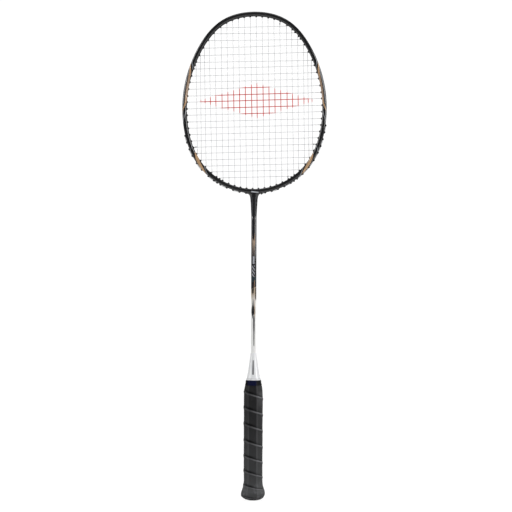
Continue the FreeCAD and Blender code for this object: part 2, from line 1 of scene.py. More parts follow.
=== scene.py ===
"""A strung racket, standing upright on the end of its handle.

Z runs up the racket from the butt at z = 0 to the crown of the head, X runs across it and
the strings lie in the XZ plane. The front faces -Y, towards the camera; left and right are
as the camera sees them, so right is +X. Shapes are in millimetres until they become meshes.
"""
import math
from functools import cached_property
import bmesh
import bpy
import numpy as np
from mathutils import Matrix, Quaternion, Vector, noise


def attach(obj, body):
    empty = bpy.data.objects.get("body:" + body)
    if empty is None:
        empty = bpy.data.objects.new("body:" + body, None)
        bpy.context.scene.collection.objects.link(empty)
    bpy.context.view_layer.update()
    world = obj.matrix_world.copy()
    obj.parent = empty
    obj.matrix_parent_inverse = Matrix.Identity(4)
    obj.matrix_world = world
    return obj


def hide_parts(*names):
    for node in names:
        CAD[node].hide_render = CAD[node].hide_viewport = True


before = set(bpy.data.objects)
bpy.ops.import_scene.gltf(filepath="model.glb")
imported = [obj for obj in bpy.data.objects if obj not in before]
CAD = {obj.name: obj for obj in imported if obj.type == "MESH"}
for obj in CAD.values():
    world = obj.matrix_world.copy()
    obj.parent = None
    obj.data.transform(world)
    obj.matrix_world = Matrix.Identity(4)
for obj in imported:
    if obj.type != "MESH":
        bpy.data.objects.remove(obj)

PI = math.pi
MM = 0.001
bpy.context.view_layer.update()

# ---------------------------------------------------------------- dimensions (mm)
# outer outline of the head: x is a sine series and z a cosine series of the rim angle,
# which starts at the crown and grows towards +X
OUTLINE_SIN = (100.937, -1.576, 0.730, 1.638, -0.353, 0.804)
OUTLINE_COS = (549.122, 126.525, 0.190, -0.131, -0.012, -0.890, 0.195)
HOOP_W, HOOP_D = 6.0, 10.4                 # hoop section, in the string plane and along Y
GROOVE_DEPTH = 1.3
GROOVE_END_LEFT, GROOVE_END_RIGHT = 511.6, 520.6     # heights where the groove runs out

STRING_R, BED_OFFSET = 0.34, 0.36          # mains run at +Y, crosses at -Y by the offset
WEAVE_H = BED_OFFSET + 0.045               # sway at each crossing
WEAVE_REACH = 1.15                         # from a crossing to its two path points
MAIN_X = (4.2, 12.5, 20.8, 29.1, 37.4, 45.7, 54.0, 62.4, 69.6, 75.9, 81.8)   # mirrored
CROSS_Z = (655.0, 645.8, 636.4, 626.7, 617.7, 607.9, 598.8, 589.0, 580.3, 570.7, 561.2,
           552.7, 543.3, 534.4, 524.9, 516.2, 507.2, 498.2, 489.3, 479.9, 471.2, 462.1,
           452.8, 445.1)
MAIN_SKEW, CROSS_SKEW, BED_MID_Z = 0.017, 0.024, 549.0
LEVEL_FROM_Z, LEVEL_LOSS = 600.0, 0.012    # crosses above this height lie flatter

BORE_R, BARREL_R, COLLAR_R, TIP = 0.75, 1.10, 1.45, 1.3     # grommet
HEAD_R, FLANGE_T, DOME_H, CLEAR = 1.6, 0.35, 1.45, 0.05     # grommet head
MERGE_GAP, MIN_PITCH = 3.5, 4.0            # ends this near share a hole; hole spacing
THROAT_LEAN = math.radians(33)

# stencilled lozenge on the strings: centre, half sizes, thickness of the ink
INK_X, INK_Z, INK_W, INK_H, INK_T = 3.0, 552.0, 84.0, 25.0, 0.18

SHAFT_R, SHAFT_BORE_R = 3.6, 2.2
GRIP_W, GRIP_BEVEL = 25.9, 6.9             # the corner cut, at this handle width


def vec(x, y, z):
    return Vector((x, y, z))


def clamp01(u):
    return max(0.0, min(1.0, u))


def ease(u):
    return u * u * (3 - 2 * u)


# ---------------------------------------------------------------- rim of the head
def outline(t):
    return (sum(a * math.sin((k + 1) * t) for k, a in enumerate(OUTLINE_SIN)),
            sum(c * math.cos(k * t) for k, c in enumerate(OUTLINE_COS)))


def rim_normal(t):
    """Outward unit normal of the outline."""
    dx = sum(a * (k + 1) * math.cos((k + 1) * t) for k, a in enumerate(OUTLINE_SIN))
    dz = sum(-c * k * math.sin(k * t) for k, c in enumerate(OUTLINE_COS))
    length = math.hypot(dx, dz)
    return -dz / length, dx / length


def rim(t, offset=0.0):
    """Point of the outline, moved outward by the offset."""
    x, z = outline(t)
    nx, nz = rim_normal(t)
    return x + nx * offset, z + nz * offset


ARC_STEPS = 7200
INNER = [rim(2 * PI * i / ARC_STEPS, -HOOP_W) for i in range(ARC_STEPS + 1)]
ARC = [0.0]
for start, end in zip(INNER, INNER[1:]):
    ARC.append(ARC[-1] + math.hypot(end[0] - start[0], end[1] - start[1]))


def arc_at(t):
    """Length along the inner face from the crown to rim angle t."""
    u = (t % (2 * PI)) / (2 * PI) * ARC_STEPS
    i = int(u)
    return ARC[i] + (ARC[min(i + 1, ARC_STEPS)] - ARC[i]) * (u - i)


def arc_gap(t0, t1):
    return (arc_at(t1) - arc_at(t0)) % ARC[-1]


def crossing(distance, lo, hi):
    """Rim angle where the inner face meets the line distance(x, z) = 0."""
    steps = 1400
    t_before, before = lo, distance(*rim(lo, -HOOP_W))
    for i in range(1, steps + 1):
        t = lo + (hi - lo) * i / steps
        now = distance(*rim(t, -HOOP_W))
        if (before <= 0 < now) or (before >= 0 > now):
            return t_before + (t - t_before) * (0 - before) / (now - before)
        t_before, before = t, now
    raise ValueError("a line misses the rim")


# arc length from the crown along the middle line of the hoop
MIDLINE_STEPS = 1440
MID_T = [2 * PI * i / MIDLINE_STEPS for i in range(MIDLINE_STEPS + 1)]
MIDLINE = [rim(t, -HOOP_W / 2) for t in MID_T]
MID_ARC = np.concatenate([[0.0], np.cumsum([math.hypot(end[0] - start[0], end[1] - start[1])
                                            for start, end in zip(MIDLINE, MIDLINE[1:])])])
MID_TOTAL = float(MID_ARC[-1])


def arc_at_height(z):
    """Arc length from the crown to where the middle line comes down to height z."""
    for i in range(2, MIDLINE_STEPS // 2):
        upper, lower = MIDLINE[i][1], MIDLINE[i + 1][1]
        if upper >= z > lower:
            part = (upper - z) / (upper - lower)
            return float(MID_ARC[i] + (MID_ARC[i + 1] - MID_ARC[i]) * part)
    return float(MID_ARC[MIDLINE_STEPS // 2])


# ---------------------------------------------------------------- string holes
class Hole:
    """A hole through the hoop; ends lists the string ends (kind, number, side) in it."""

    def __init__(self, t, ends):
        self.t, self.ends, self.tie = t, ends, False

    def settle(self, number):
        """Fix the place on the inner face and the outward direction."""
        x, z = rim(self.t, -HOOP_W)
        nx, nz = rim_normal(self.t)
        self.number = number
        self.foot, self.out, self.normal = vec(x, 0, z), vec(nx, 0, nz), vec(nx, 0, nz)
        if abs(x) < 9 and z < 450:
            lean = THROAT_LEAN * (1 if x > 0 else -1)
            self.out = vec(math.sin(lean), 0, -math.cos(lean))
        self.lean_cos = self.out.dot(self.normal)
        self.grooved = z > (GROOVE_END_RIGHT if x > 0 else GROOVE_END_LEFT)
        # thickness of the hoop here, and how far outside the inner face the string rides
        self.wall = HOOP_W - GROOVE_DEPTH if self.grooved else HOOP_W
        self.string_h = self.wall + CLEAR + FLANGE_T + STRING_R + 0.03
        self.outer = self.foot + self.out * (self.string_h / self.lean_cos)
        self.bend = self.foot - self.out * (TIP + 0.35)


def find_string_ends():
    """Every string end as (rim angle, kind, number, side), round the rim."""
    ends = []

    def add(distance, lo, hi, *label):
        ends.append((crossing(distance, lo, hi) % (2 * PI), *label))

    for i, x0 in enumerate(MAINS):
        def from_main(x, z):
            return x - (x0 - MAIN_SKEW * (z - BED_MID_Z))
        add(from_main, -PI / 2, PI / 2, "m", i, "top")
        add(from_main, PI / 2, 3 * PI / 2, "m", i, "bottom")
    for j, z0 in enumerate(CROSS_Z):
        skew = CROSS_SKEW
        if z0 >= LEVEL_FROM_Z:
            skew -= LEVEL_LOSS * (z0 - LEVEL_FROM_Z) / (CROSS_Z[0] - LEVEL_FROM_Z)

        def from_cross(x, z):
            return z - (z0 + skew * x)
        add(from_cross, 0.02, PI - 0.02, "c", j, "right")
        add(from_cross, PI + 0.02, 2 * PI - 0.02, "c", j, "left")
    return sorted(ends, key=lambda end: end[0])


def make_holes(ends):
    """Give near neighbours of different kinds one hole, then space the holes out."""
    pairs = []
    for a in range(len(ends)):
        b = (a + 1) % len(ends)
        if ends[a][1] != ends[b][1]:
            gap = arc_gap(ends[a][0], ends[b][0])
            if gap < MERGE_GAP:
                pairs.append((gap, a, b))
    found, used = [], set()
    for _, a, b in sorted(pairs):
        if a not in used and b not in used:
            used |= {a, b}
            ta, tb = ends[a][0], ends[b][0]
            if tb < ta:
                tb += 2 * PI
            found.append(Hole(((ta + tb) / 2) % (2 * PI), [ends[a][1:], ends[b][1:]]))
    found += [Hole(end[0], [end[1:]]) for a, end in enumerate(ends) if a not in used]
    found.sort(key=lambda hole: hole.t)
    for _ in range(60):
        for a, hole in enumerate(found):
            after = found[(a + 1) % len(found)]
            gap = arc_gap(hole.t, after.t)
            if gap < MIN_PITCH:
                push = (MIN_PITCH - gap) * 0.26 / ARC[-1] * 2 * PI
                hole.t -= push
                after.t += push
    for number, hole in enumerate(found):
        hole.settle(number)
    return found


MAINS = sorted([-x for x in MAIN_X] + list(MAIN_X))
MAIN_COUNT, CROSS_COUNT = len(MAINS), len(CROSS_Z)
HOLES = make_holes(find_string_ends())
HOLE_OF = {end: hole for hole in HOLES for end in hole.ends}

# ---------------------------------------------------------------- string runs and weave
RUNS = {}
for i in range(MAIN_COUNT):
    RUNS["m", i] = (HOLE_OF["m", i, "top"].bend, HOLE_OF["m", i, "bottom"].bend)
for j in range(CROSS_COUNT):
    RUNS["c", j] = (HOLE_OF["c", j, "left"].bend, HOLE_OF["c", j, "right"].bend)


def segments_meet(a, b, c, d):
    """Fractions along a-b and c-d where they cross in the XZ plane, or None."""
    r = (b.x - a.x, b.z - a.z)
    s = (d.x - c.x, d.z - c.z)
    area = r[0] * s[1] - r[1] * s[0]
    if abs(area) < 1e-9:
        return None
    q = (c.x - a.x, c.z - a.z)
    u = (q[0] * s[1] - q[1] * s[0]) / area
    w = (q[0] * r[1] - q[1] * r[0]) / area
    return (u, w) if 0 < u < 1 and 0 < w < 1 else None


def find_crossings():
    """For each run, the (fraction, sign of Y) at every crossing."""
    met = {key: [] for key in RUNS}
    for i in range(MAIN_COUNT):
        for j in range(CROSS_COUNT):
            main, cross = RUNS["m", i], RUNS["c", j]
            at = segments_meet(*main, *cross)
            if not at:
                continue
            sign = 1 if (i + j) % 2 == 0 else -1
            main_len = (main[1] - main[0]).length
            cross_len = (cross[1] - cross[0]).length
            # beside the rim the strings keep to their own sides
            if min(at[0] * main_len, (1 - at[0]) * main_len,
                   at[1] * cross_len, (1 - at[1]) * cross_len) < 4.2:
                sign = 1
            met["m", i].append((at[0], sign))
            met["c", j].append((at[1], -sign))
    return met


CROSSINGS = find_crossings()


def run_points(key):
    a, b = RUNS[key]
    side = vec(0, BED_OFFSET if key[0] == "m" else -BED_OFFSET, 0)
    length = (b - a).length
    along = (b - a).normalized()
    points = [a + along * 0.9 + side]
    for u, sign in sorted(CROSSINGS[key]):
        for reach in (u * length - WEAVE_REACH, u * length + WEAVE_REACH):
            if 1.6 < reach < length - 1.6:
                points.append(a + along * reach + vec(0, sign * WEAVE_H, 0))
    points.append(b - along * 0.9 + side)
    return points


def hole_points(hole, side, outward=True):
    shift = vec(0, side, 0)
    reach = (hole.outer - hole.foot).length
    points = [hole.bend + shift]
    points += [hole.foot + hole.out * k + shift for k in (-0.6, 1.2, reach * 0.55, reach - 0.9)]
    points.append(hole.outer + shift)
    return points if outward else points[::-1]


def loop_points(hole0, hole1, side):
    """The string's way round the outside of the hoop between two holes."""
    t0, t1 = hole0.t, hole1.t
    if t1 - t0 > PI:
        t1 -= 2 * PI
    if t0 - t1 > PI:
        t1 += 2 * PI
    length = arc_gap(min(t0, t1), max(t0, t1))
    height = max(hole0.string_h, hole1.string_h) - HOOP_W
    (x0, z0), (x1, z1) = rim(t0, height), rim(t1, height)
    miss0, miss1 = hole0.outer - vec(x0, 0, z0), hole1.outer - vec(x1, 0, z1)
    count = max(3, int(length / 2.6))
    lead = 1.0 / max(length, 3.0)
    points = []
    for i in range(count + 1):
        f = lead + (1 - 2 * lead) * i / count
        x, z = rim(t0 + (t1 - t0) * f, height)
        points.append(vec(x, side, z) + miss0 * max(0.0, 1 - f) + miss1 * max(0.0, f))
    return points


def tie_hole(hole, kind, step):
    """The nearest hole in a direction with no end of the same kind in it."""
    for k in range(1, 8):
        other = HOLES[(hole.number + step * k) % len(HOLES)]
        if all(end[0] != kind for end in other.ends):
            other.tie = True
            return other


def string_path(order, side, tie_start, tie_end):
    """Path of one string over its runs, each (key, forwards), between its two ties."""
    sides = {"m": ("top", "bottom"), "c": ("left", "right")}

    def end_hole(key, first):
        return HOLE_OF[(*key, sides[key[0]][0 if first else 1])]

    points = hole_points(tie_start, side)[1:]
    before = tie_start
    for key, forwards in order:
        entry, leave = end_hole(key, forwards), end_hole(key, not forwards)
        points += loop_points(before, entry, side)
        points += hole_points(entry, side, outward=False)
        points += run_points(key) if forwards else run_points(key)[::-1]
        points += hole_points(leave, side)
        before = leave
    points += loop_points(before, tie_end, side)
    points += hole_points(tie_end, side, outward=False)[:-1]
    return points


# mains go from the middle out to the left, then from the middle out to the right
MIDDLE = MAIN_COUNT // 2
MAIN_ORDER = [(("m", MIDDLE - k), k % 2 == 0) for k in range(MIDDLE, 0, -1)]
MAIN_ORDER += [(("m", MIDDLE + k - 1), k % 2 == 1) for k in range(1, MIDDLE + 1)]
CROSS_ORDER = [(("c", j), j % 2 == 1) for j in range(CROSS_COUNT)]
MAIN_TIES = (tie_hole(HOLE_OF["m", 0, "bottom"], "m", +1),
             tie_hole(HOLE_OF["m", MAIN_COUNT - 1, "bottom"], "m", -1))
CROSS_TIES = (tie_hole(HOLE_OF["c", 0, "right"], "c", -1),
              tie_hole(HOLE_OF["c", CROSS_COUNT - 1, "right"], "c", +1))


# ---------------------------------------------------------------- mesh helpers
def fill_mesh(name, verts, faces):
    mesh = bpy.data.meshes.new(name)
    mesh.from_pydata([tuple(float(c) * MM for c in v) for v in verts], [],
                     [tuple(int(i) for i in f) for f in faces])
    return mesh


def link_object(name, data):
    ob = bpy.data.objects.new(name, data)
    bpy.context.scene.collection.objects.link(ob)
    return ob


def add_piece(mesh, bm, replaced, sharp_deg=None):
    bmesh.ops.recalc_face_normals(bm, faces=bm.faces)
    bm.to_mesh(mesh)
    bm.free()
    mesh.shade_smooth()
    if sharp_deg:
        mesh.set_sharp_from_angle(angle=math.radians(sharp_deg))
    ob = link_object(mesh.name, mesh)
    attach(ob, "root")
    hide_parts(replaced)
    return ob


def make_piece(name, verts, faces, replaced, slot, sharp_deg=None, attributes=()):
    mesh = fill_mesh(name, verts, faces)
    for key, values in attributes:
        layer = mesh.attributes.new(key, "FLOAT", "POINT")
        layer.data.foreach_set("value", np.asarray(values, np.float32))
    mesh.validate()
    bm = bmesh.new()
    bm.from_mesh(mesh)
    return add_piece(mesh, bm, replaced, sharp_deg)


def grid(rows, cols, close_rows=False, close_cols=True):
    faces = []
    for i in range(rows if close_rows else rows - 1):
        for j in range(cols if close_cols else cols - 1):
            a, b = i * cols, (i + 1) % rows * cols
            k = (j + 1) % cols
            faces.append((a + j, a + k, b + k, b + j))
    return faces


def capped_grid(rows, cols):
    """A tube of rings with a face over each end."""
    return grid(rows, cols) + [tuple(range(cols)),
                               tuple(range((rows - 1) * cols, rows * cols))[::-1]]


def bspline(poles, samples, closed=False):
    """Uniform cubic B-spline through a control polygon, with samples in each span."""
    poles = np.asarray(poles, float)
    if not closed:
        poles = np.vstack([2 * poles[0] - poles[1], poles, 2 * poles[-1] - poles[-2]])
    n = len(poles)
    starts = range(-1, n - 1) if closed else range(n - 3)
    points = []
    for i in starts:
        a, b, c, d = (poles[(i + k) % n] for k in range(4))
        for k in range(samples):
            u = k / samples
            w = ((1 - u) ** 3 / 6, (3 * u ** 3 - 6 * u ** 2 + 4) / 6,
                 (-3 * u ** 3 + 3 * u ** 2 + 3 * u + 1) / 6, u ** 3 / 6)
            points.append(w[0] * a + w[1] * b + w[2] * c + w[3] * d)
    if not closed:
        points.append((poles[-3] + 4 * poles[-2] + poles[-1]) / 6)
    return np.array(points)


def tube(path, r, sides, steer=(0.0, 1.0, 0.0)):
    """Rings round a path, with domed ends; steer sets how the rings are turned."""
    path = np.asarray(path, float)
    tangent = np.gradient(path, axis=0)
    tangent /= np.linalg.norm(tangent, axis=1)[:, None]
    n1 = np.cross(np.tile(steer, (len(path), 1)), tangent)
    n1 /= np.linalg.norm(n1, axis=1)[:, None]
    n2 = np.cross(tangent, n1)
    angles = 2 * PI * np.arange(sides) / sides
    cos, sin = np.cos(angles), np.sin(angles)
    rings = path[:, None, :] + r * (cos[None, :, None] * n1[:, None, :]
                                    + sin[None, :, None] * n2[:, None, :])

    def dome(i, sign):
        out = []
        for q in (0.55, 0.9):
            ring_r, rise = r * math.cos(q * PI / 2), r * math.sin(q * PI / 2)
            out.append(path[i] + sign * tangent[i] * rise
                       + ring_r * (cos[:, None] * n1[i] + sin[:, None] * n2[i]))
        return np.array(out)

    rings = np.vstack([dome(0, -1)[::-1], rings, dome(-1, 1)])
    return rings.reshape(-1, 3), capped_grid(len(rings), sides)


def join(parts):
    all_verts, all_faces, offset = [], [], 0
    for verts, faces in parts:
        all_verts.append(np.asarray(verts, float))
        all_faces += [tuple(i + offset for i in face) for face in faces]
        offset += len(verts)
    return np.vstack(all_verts), all_faces


def lathe(name, profile, segments, **piece):
    """Turn a closed (radius, z) profile about the Z axis."""
    verts = []
    for k in range(segments):
        w = 2 * PI * k / segments
        verts += [(r * math.sin(w), -r * math.cos(w), z) for r, z in profile]
    return make_piece(name, verts, grid(segments, len(profile), close_rows=True), **piece)


def smeared(z, heights, values, half, count):
    """A table read at height z, averaged over a window to round its corners."""
    return float(np.mean([np.interp(z + o, heights, values)
                          for o in np.linspace(-half, half, count)]))


# ---------------------------------------------------------------- strings and knots
STRING_SIDES = 10


def inked(x, z):
    """1 inside the stencilled lozenge, 0 outside it."""
    return clamp01((1.0 - abs(x - INK_X) / INK_W - abs(z - INK_Z) / INK_H) / 0.08)


def woven_string(name, order, side, ties, replaced):
    path = bspline([tuple(p) for p in string_path(order, side, *ties)], 4)
    verts, faces = tube(path, STRING_R, STRING_SIDES)
    # the ink adds its own thickness
    first = (len(verts) - len(path) * STRING_SIDES) // 2
    for i, centre in enumerate(path):
        ink = inked(centre[0], centre[2])
        if ink > 0:
            ring = slice(first + i * STRING_SIDES, first + (i + 1) * STRING_SIDES)
            verts[ring] = centre + (verts[ring] - centre) * (1 + INK_T * ink / STRING_R)
    return make_piece(name, verts, faces, replaced, "string_nylon")


def knot(hole, kind):
    """A coil round the other string in the hole, ending in a short straight tail."""
    key = [end for end in hole.ends if end[0] != kind][0][:2]
    a, b = RUNS[key]
    if (b - hole.bend).length < (a - hole.bend).length:
        a, b = b, a
    along = (b - a).normalized()
    side = BED_OFFSET if key[0] == "m" else -BED_OFFSET
    n1 = vec(0, 1, 0)
    n2 = along.cross(n1)
    coil_r = 2 * STRING_R + 0.05
    first, pitch, per_turn, turns = 1.15, 0.74, 24, 2.4
    points = []
    for i in range(int(turns * per_turn) + 1):
        w = 2 * PI * i / per_turn
        points.append(a + along * (first + pitch * i / per_turn) + vec(0, side, 0)
                      + n1 * (coil_r * math.cos(w)) + n2 * (coil_r * math.sin(w)))
    tail = (n2 * math.cos(w) - n1 * math.sin(w)).normalized()
    last = points[-1]
    points += [last + tail * k + along * (0.16 * k) for k in (0.3, 0.6, 0.9, 1.2, 1.5, 1.8)]
    return tube([tuple(p) for p in points], STRING_R, 12, steer=tuple(along))


def knots(name, ties, kind, replaced):
    return make_piece(name, *join([knot(hole, kind) for hole in ties]), replaced,
                      "string_nylon")


string_pieces = [
    woven_string("main_string_woven", MAIN_ORDER, BED_OFFSET, MAIN_TIES, "main_string"),
    woven_string("cross_string_woven", CROSS_ORDER, -BED_OFFSET, CROSS_TIES, "cross_string"),
    knots("main_tie_off_knots", MAIN_TIES, "m", "main_string_knots"),
    knots("cross_tie_off_knots", CROSS_TIES, "c", "cross_string_knots")]

# ---------------------------------------------------------------- hoop and throat
# share of the groove's depth at each distance from the middle of the section: (y, share)
GROOVE_SHAPE = [(0.0, 1.0), (0.5, 1.0), (1.0, 1.0), (1.5, 1.0), (1.82, 0.99), (1.94, 0.93),
                (1.985, 0.5), (2.03, 0.07), (2.12, 0.0), (2.3, 0.0)]
GROOVE_FADE = 0.0035                       # half the run-out of the groove, in rim angle
# throat sections: (z, half width, half depth)
THROAT_FOOT_Z = rim(PI)[1]
THROAT = [(392.0, 3.70, 3.69), (395.0, 3.82, 3.81), (398.0, 3.95, 3.94), (404.0, 4.25, 4.2),
          (410.0, 4.6, 4.5), (416.0, 5.05, 4.75), (419.0, 5.5, 4.86), (421.0, 6.1, 4.92),
          (THROAT_FOOT_Z - 1.6, 7.0, 4.96), (THROAT_FOOT_Z - 0.6, 8.6, 4.98),
          (THROAT_FOOT_Z + 0.1, 10.8, 4.9), (THROAT_FOOT_Z + 0.75, 13.8, 4.7),
          (THROAT_FOOT_Z + 1.3, 16.0, 4.2)]
THROAT_SIDES = 72


def hoop_section():
    """Section columns (outward, y, groove share), from the outer middle over the back."""
    w, d = HOOP_W / 2, HOOP_D / 2
    poles = [(w, 0.9), (w, 2.6), (w - 0.25, 4.1), (1.5, d), (0.0, d), (-1.5, d),
             (-w + 0.25, 4.1), (-w, 2.4), (-w, 0.8)]
    dense = bspline(poles + [(n, -y) for n, y in reversed(poles)], 24, closed=True)
    half = dense[dense[:, 1] >= 0]
    half = half[np.argsort(np.arctan2(half[:, 1] / d, half[:, 0] / w))]
    arc = np.concatenate([[0], np.cumsum(np.hypot(*np.diff(half, axis=0).T))])
    outer = half[:, 0] > 1.0
    columns = [(float(np.interp(y, half[outer][:, 1], half[outer][:, 0])), y, share)
               for y, share in GROOVE_SHAPE]
    start = float(np.interp(2.55, half[outer][:, 1], arc[outer]))
    for at in np.linspace(start, arc[-1], 34):
        columns.append((float(np.interp(at, arc, half[:, 0])),
                        float(np.interp(at, arc, half[:, 1])), 0.0))
    columns[-1] = (columns[-1][0], 0.0, 0.0)
    return columns + [(n, -y, share) for n, y, share in reversed(columns[1:-1])]


def hoop_mesh():
    """Verts, faces and, for each vert, its place across and along the hoop."""
    t_right = crossing(lambda x, z: z - GROOVE_END_RIGHT, 0.02, PI - 0.02)
    t_left = crossing(lambda x, z: z - GROOVE_END_LEFT, PI + 0.02, 2 * PI - 0.02)
    angles = [2 * PI * i / 720 for i in range(720)]
    for t_end in (t_right, t_left):
        angles += [t_end + d for d in (-0.004, -0.0025, -0.001, 0.0, 0.001, 0.0025, 0.004)]
    columns = hoop_section()
    verts, across, along = [], [], []
    for t in sorted(angles):
        groove = 0.0 if t_right < t < t_left else 1.0
        for t_end, sign in ((t_right, 1), (t_left, -1)):
            past = (t - t_end) * sign
            if abs(past) < GROOVE_FADE:
                groove = ease((GROOVE_FADE - past) / (2 * GROOVE_FADE))
        arc = float(np.interp(t, MID_T, MID_ARC))
        arc = min(arc, MID_TOTAL - arc)
        for n, y, share in columns:
            if share > 0:
                n = n - (GROOVE_DEPTH - (HOOP_W / 2 - n)) * share * groove
            x, z = rim(t, -HOOP_W / 2 + n)
            verts.append((x, y, z))
            across.append(n)
            along.append(arc)
    return verts, grid(len(angles), len(columns), close_rows=True), across, along


def throat_mesh():
    heights, half_widths, half_depths = zip(*THROAT)
    rows = np.concatenate([np.linspace(392.0, 416.0, 13),
                           np.linspace(416.6, THROAT_FOOT_Z + 1.3, 22)])
    verts = []
    for z in rows:
        a = smeared(z, heights, half_widths, half=0.5, count=5)
        b = smeared(z, heights, half_depths, half=0.5, count=5)
        for k in range(THROAT_SIDES):
            w = 2 * PI * k / THROAT_SIDES
            sin = math.sin(w)
            verts.append((a * math.cos(w), b * math.copysign(abs(sin) ** 0.92, sin), z))
    return verts, capped_grid(len(rows), THROAT_SIDES)


def head_frame():
    verts, faces, across, along = hoop_mesh()
    throat = throat_mesh()
    count = len(throat[0])
    return make_piece("head_frame_shell", *join([(verts, faces), throat]),
                      replaced="head_frame", slot="frame_lacquer", sharp_deg=50,
                      attributes=(("across", across + [0.0] * count),
                                  ("along", along + [MID_TOTAL / 2] * count)))


hoop = head_frame()

# ---------------------------------------------------------------- grommets
GROMMET_SIDES = 28


def grommet(hole):
    top = hole.wall + CLEAR
    if hole.lean_cos < 0.99:
        top = top / hole.lean_cos + 0.75
    flange = top + FLANGE_T
    # closed profile (radius, outward): bore, rounded tip, collar, barrel, then the head
    profile = [(BORE_R, flange), (BORE_R, 3.0), (BORE_R, -TIP + 0.22),
               (BORE_R + 0.05, -TIP + 0.07), (BORE_R + 0.16, -TIP),
               (COLLAR_R - 0.5, -TIP), (COLLAR_R - 0.34, -TIP + 0.04),
               (COLLAR_R - 0.22, -TIP + 0.15), (COLLAR_R - 0.1, -0.75), (COLLAR_R, -0.42),
               (COLLAR_R + 0.02, -0.2), (COLLAR_R, 0.02),
               (BARREL_R, 0.05), (BARREL_R, 3.0), (BARREL_R, top)]
    if hole.grooved:
        profile += [(HEAD_R - 0.02, top), (HEAD_R, top + 0.05), (HEAD_R, flange - 0.12),
                    (HEAD_R - 0.05, flange - 0.03), (HEAD_R - 0.14, flange),
                    (BORE_R + 0.12, flange), (BORE_R + 0.03, flange - 0.03)]
    else:
        profile += [(HEAD_R - 0.03, top - 0.02), (HEAD_R, top + 0.06)]
        profile += [(HEAD_R - inset, top + DOME_H * share) for inset, share in
                    ((0, 0.5), (0.05, 0.68), (0.16, 0.83), (0.33, 0.94), (0.52, 1), (0.66, 1))]
        profile.append((BORE_R + 0.05, top + DOME_H * 0.97))
    across = vec(0, 1, 0).cross(hole.out)
    verts = []
    for k in range(GROMMET_SIDES):
        w = 2 * PI * k / GROMMET_SIDES
        for r, z in profile:
            x, y = r * math.cos(w), r * math.sin(w)
            if not hole.grooved and z > flange:
                # saddle channel along the rim
                z = flange + (z - flange) * ease(clamp01((abs(y) - 0.80) / 0.16))
            verts.append(tuple(hole.foot + across * x + vec(0, y, 0) + hole.out * z))
    return verts, grid(GROMMET_SIDES, len(profile), close_rows=True)


def grommet_group(hole):
    x, z = hole.foot.x, hole.foot.z
    side = "right" if x > 0 else "left"
    if hole.tie:
        return "tie_off_grommets"
    if hole.grooved and z > 600:
        return "crown_grommet_strip" if abs(x) < 34 else side + "_shoulder_grommets"
    if hole.grooved:
        return side + "_side_grommets"
    if abs(x) < 36 and z < 450:
        return side + "_throat_grommets"
    return side + "_lower_grommets"


def crown_strip(group):
    """Flat strip in the floor of the groove, joining the crown grommets."""
    angles = [hole.t - (2 * PI if hole.t > PI else 0) for hole in group]
    t0, t1 = min(angles), max(angles)
    floor_h, steps = -GROOVE_DEPTH + CLEAR, 60
    profile = [(floor_h, -1.25), (floor_h + 0.16, -1.25), (floor_h + 0.22, -1.19),
               (floor_h + 0.22, 1.19), (floor_h + 0.16, 1.25), (floor_h, 1.25)]
    verts = []
    for i in range(steps + 1):
        for offset, y in profile:
            x, z = rim(t0 + (t1 - t0) * i / steps, offset)
            verts.append((x, y, z))
    return verts, capped_grid(steps + 1, len(profile))


def grommet_pieces():
    groups = {}
    for hole in HOLES:
        groups.setdefault(grommet_group(hole), []).append(hole)
    pieces = []
    for key, group in groups.items():
        parts = [grommet(hole) for hole in group]
        if key == "crown_grommet_strip":
            parts.append(crown_strip(group))
        pieces.append(make_piece(key + "_moulded", *join(parts), replaced=key,
                                 slot="grommet_nylon", sharp_deg=48))
    return pieces


grommets = grommet_pieces()

# ---------------------------------------------------------------- shaft and cone
# profiles are (radius, z)
SHAFT_PROFILE = [(SHAFT_R - 0.12, 78.0), (SHAFT_R, 78.15)]
SHAFT_PROFILE += [(SHAFT_R, float(z)) for z in np.linspace(82, 388, 80)]
SHAFT_PROFILE += [(SHAFT_R, 391.7), (SHAFT_R - 0.06, 391.92), (3.07, 391.96), (3.07, 409.8),
                  (2.95, 410.0), (SHAFT_BORE_R, 410.0), (SHAFT_BORE_R, 78.0)]
shaft = lathe("shaft_tube", SHAFT_PROFILE, 72, replaced="shaft", slot="shaft_lacquer",
              sharp_deg=40)

# flare of the cone, from its foot upward, and the slope it keeps below that
CONE_FLARE = [(9.18, 169.2), (8.66, 171.5), (7.75, 176.2), (7.05, 180.4), (6.5, 184.5),
              (5.85, 188.7), (5.3, 192.8), (4.5, 198.0), (3.95, 203.0)]
CONE_FOOT_SLOPE = 0.16


def cone_radius(z):
    radii, heights = zip(*CONE_FLARE)
    foot_r, foot_z = CONE_FLARE[0]
    return float(np.mean([
        np.interp(z + o, heights, radii, left=foot_r + (foot_z - z - o) * CONE_FOOT_SLOPE)
        for o in np.linspace(-2.2, 2.2, 9)]))


CONE_PROFILE = [(3.66, 203.0), (3.78, 203.06), (3.88, 203.0)]
CONE_PROFILE += [(cone_radius(z), float(z)) for z in np.linspace(202.7, 168.8, 60)]
# rounded lip, then the hollow inside
CONE_PROFILE += [(9.3, 168.55), (9.3, 168.42), (9.44, 168.25), (9.66, 168.12),
                 (9.84, 167.95), (9.95, 167.7), (9.98, 167.4), (9.98, 166.3), (9.94, 166.0),
                 (9.84, 165.75), (9.66, 165.62),
                 (7.4, 165.6), (7.36, 173.9), (4.6, 179.6), (3.66, 185.6)]
cone = lathe("cone_cap_moulded", CONE_PROFILE, 96, replaced="cone_cap", slot="cone_plastic",
             sharp_deg=50)

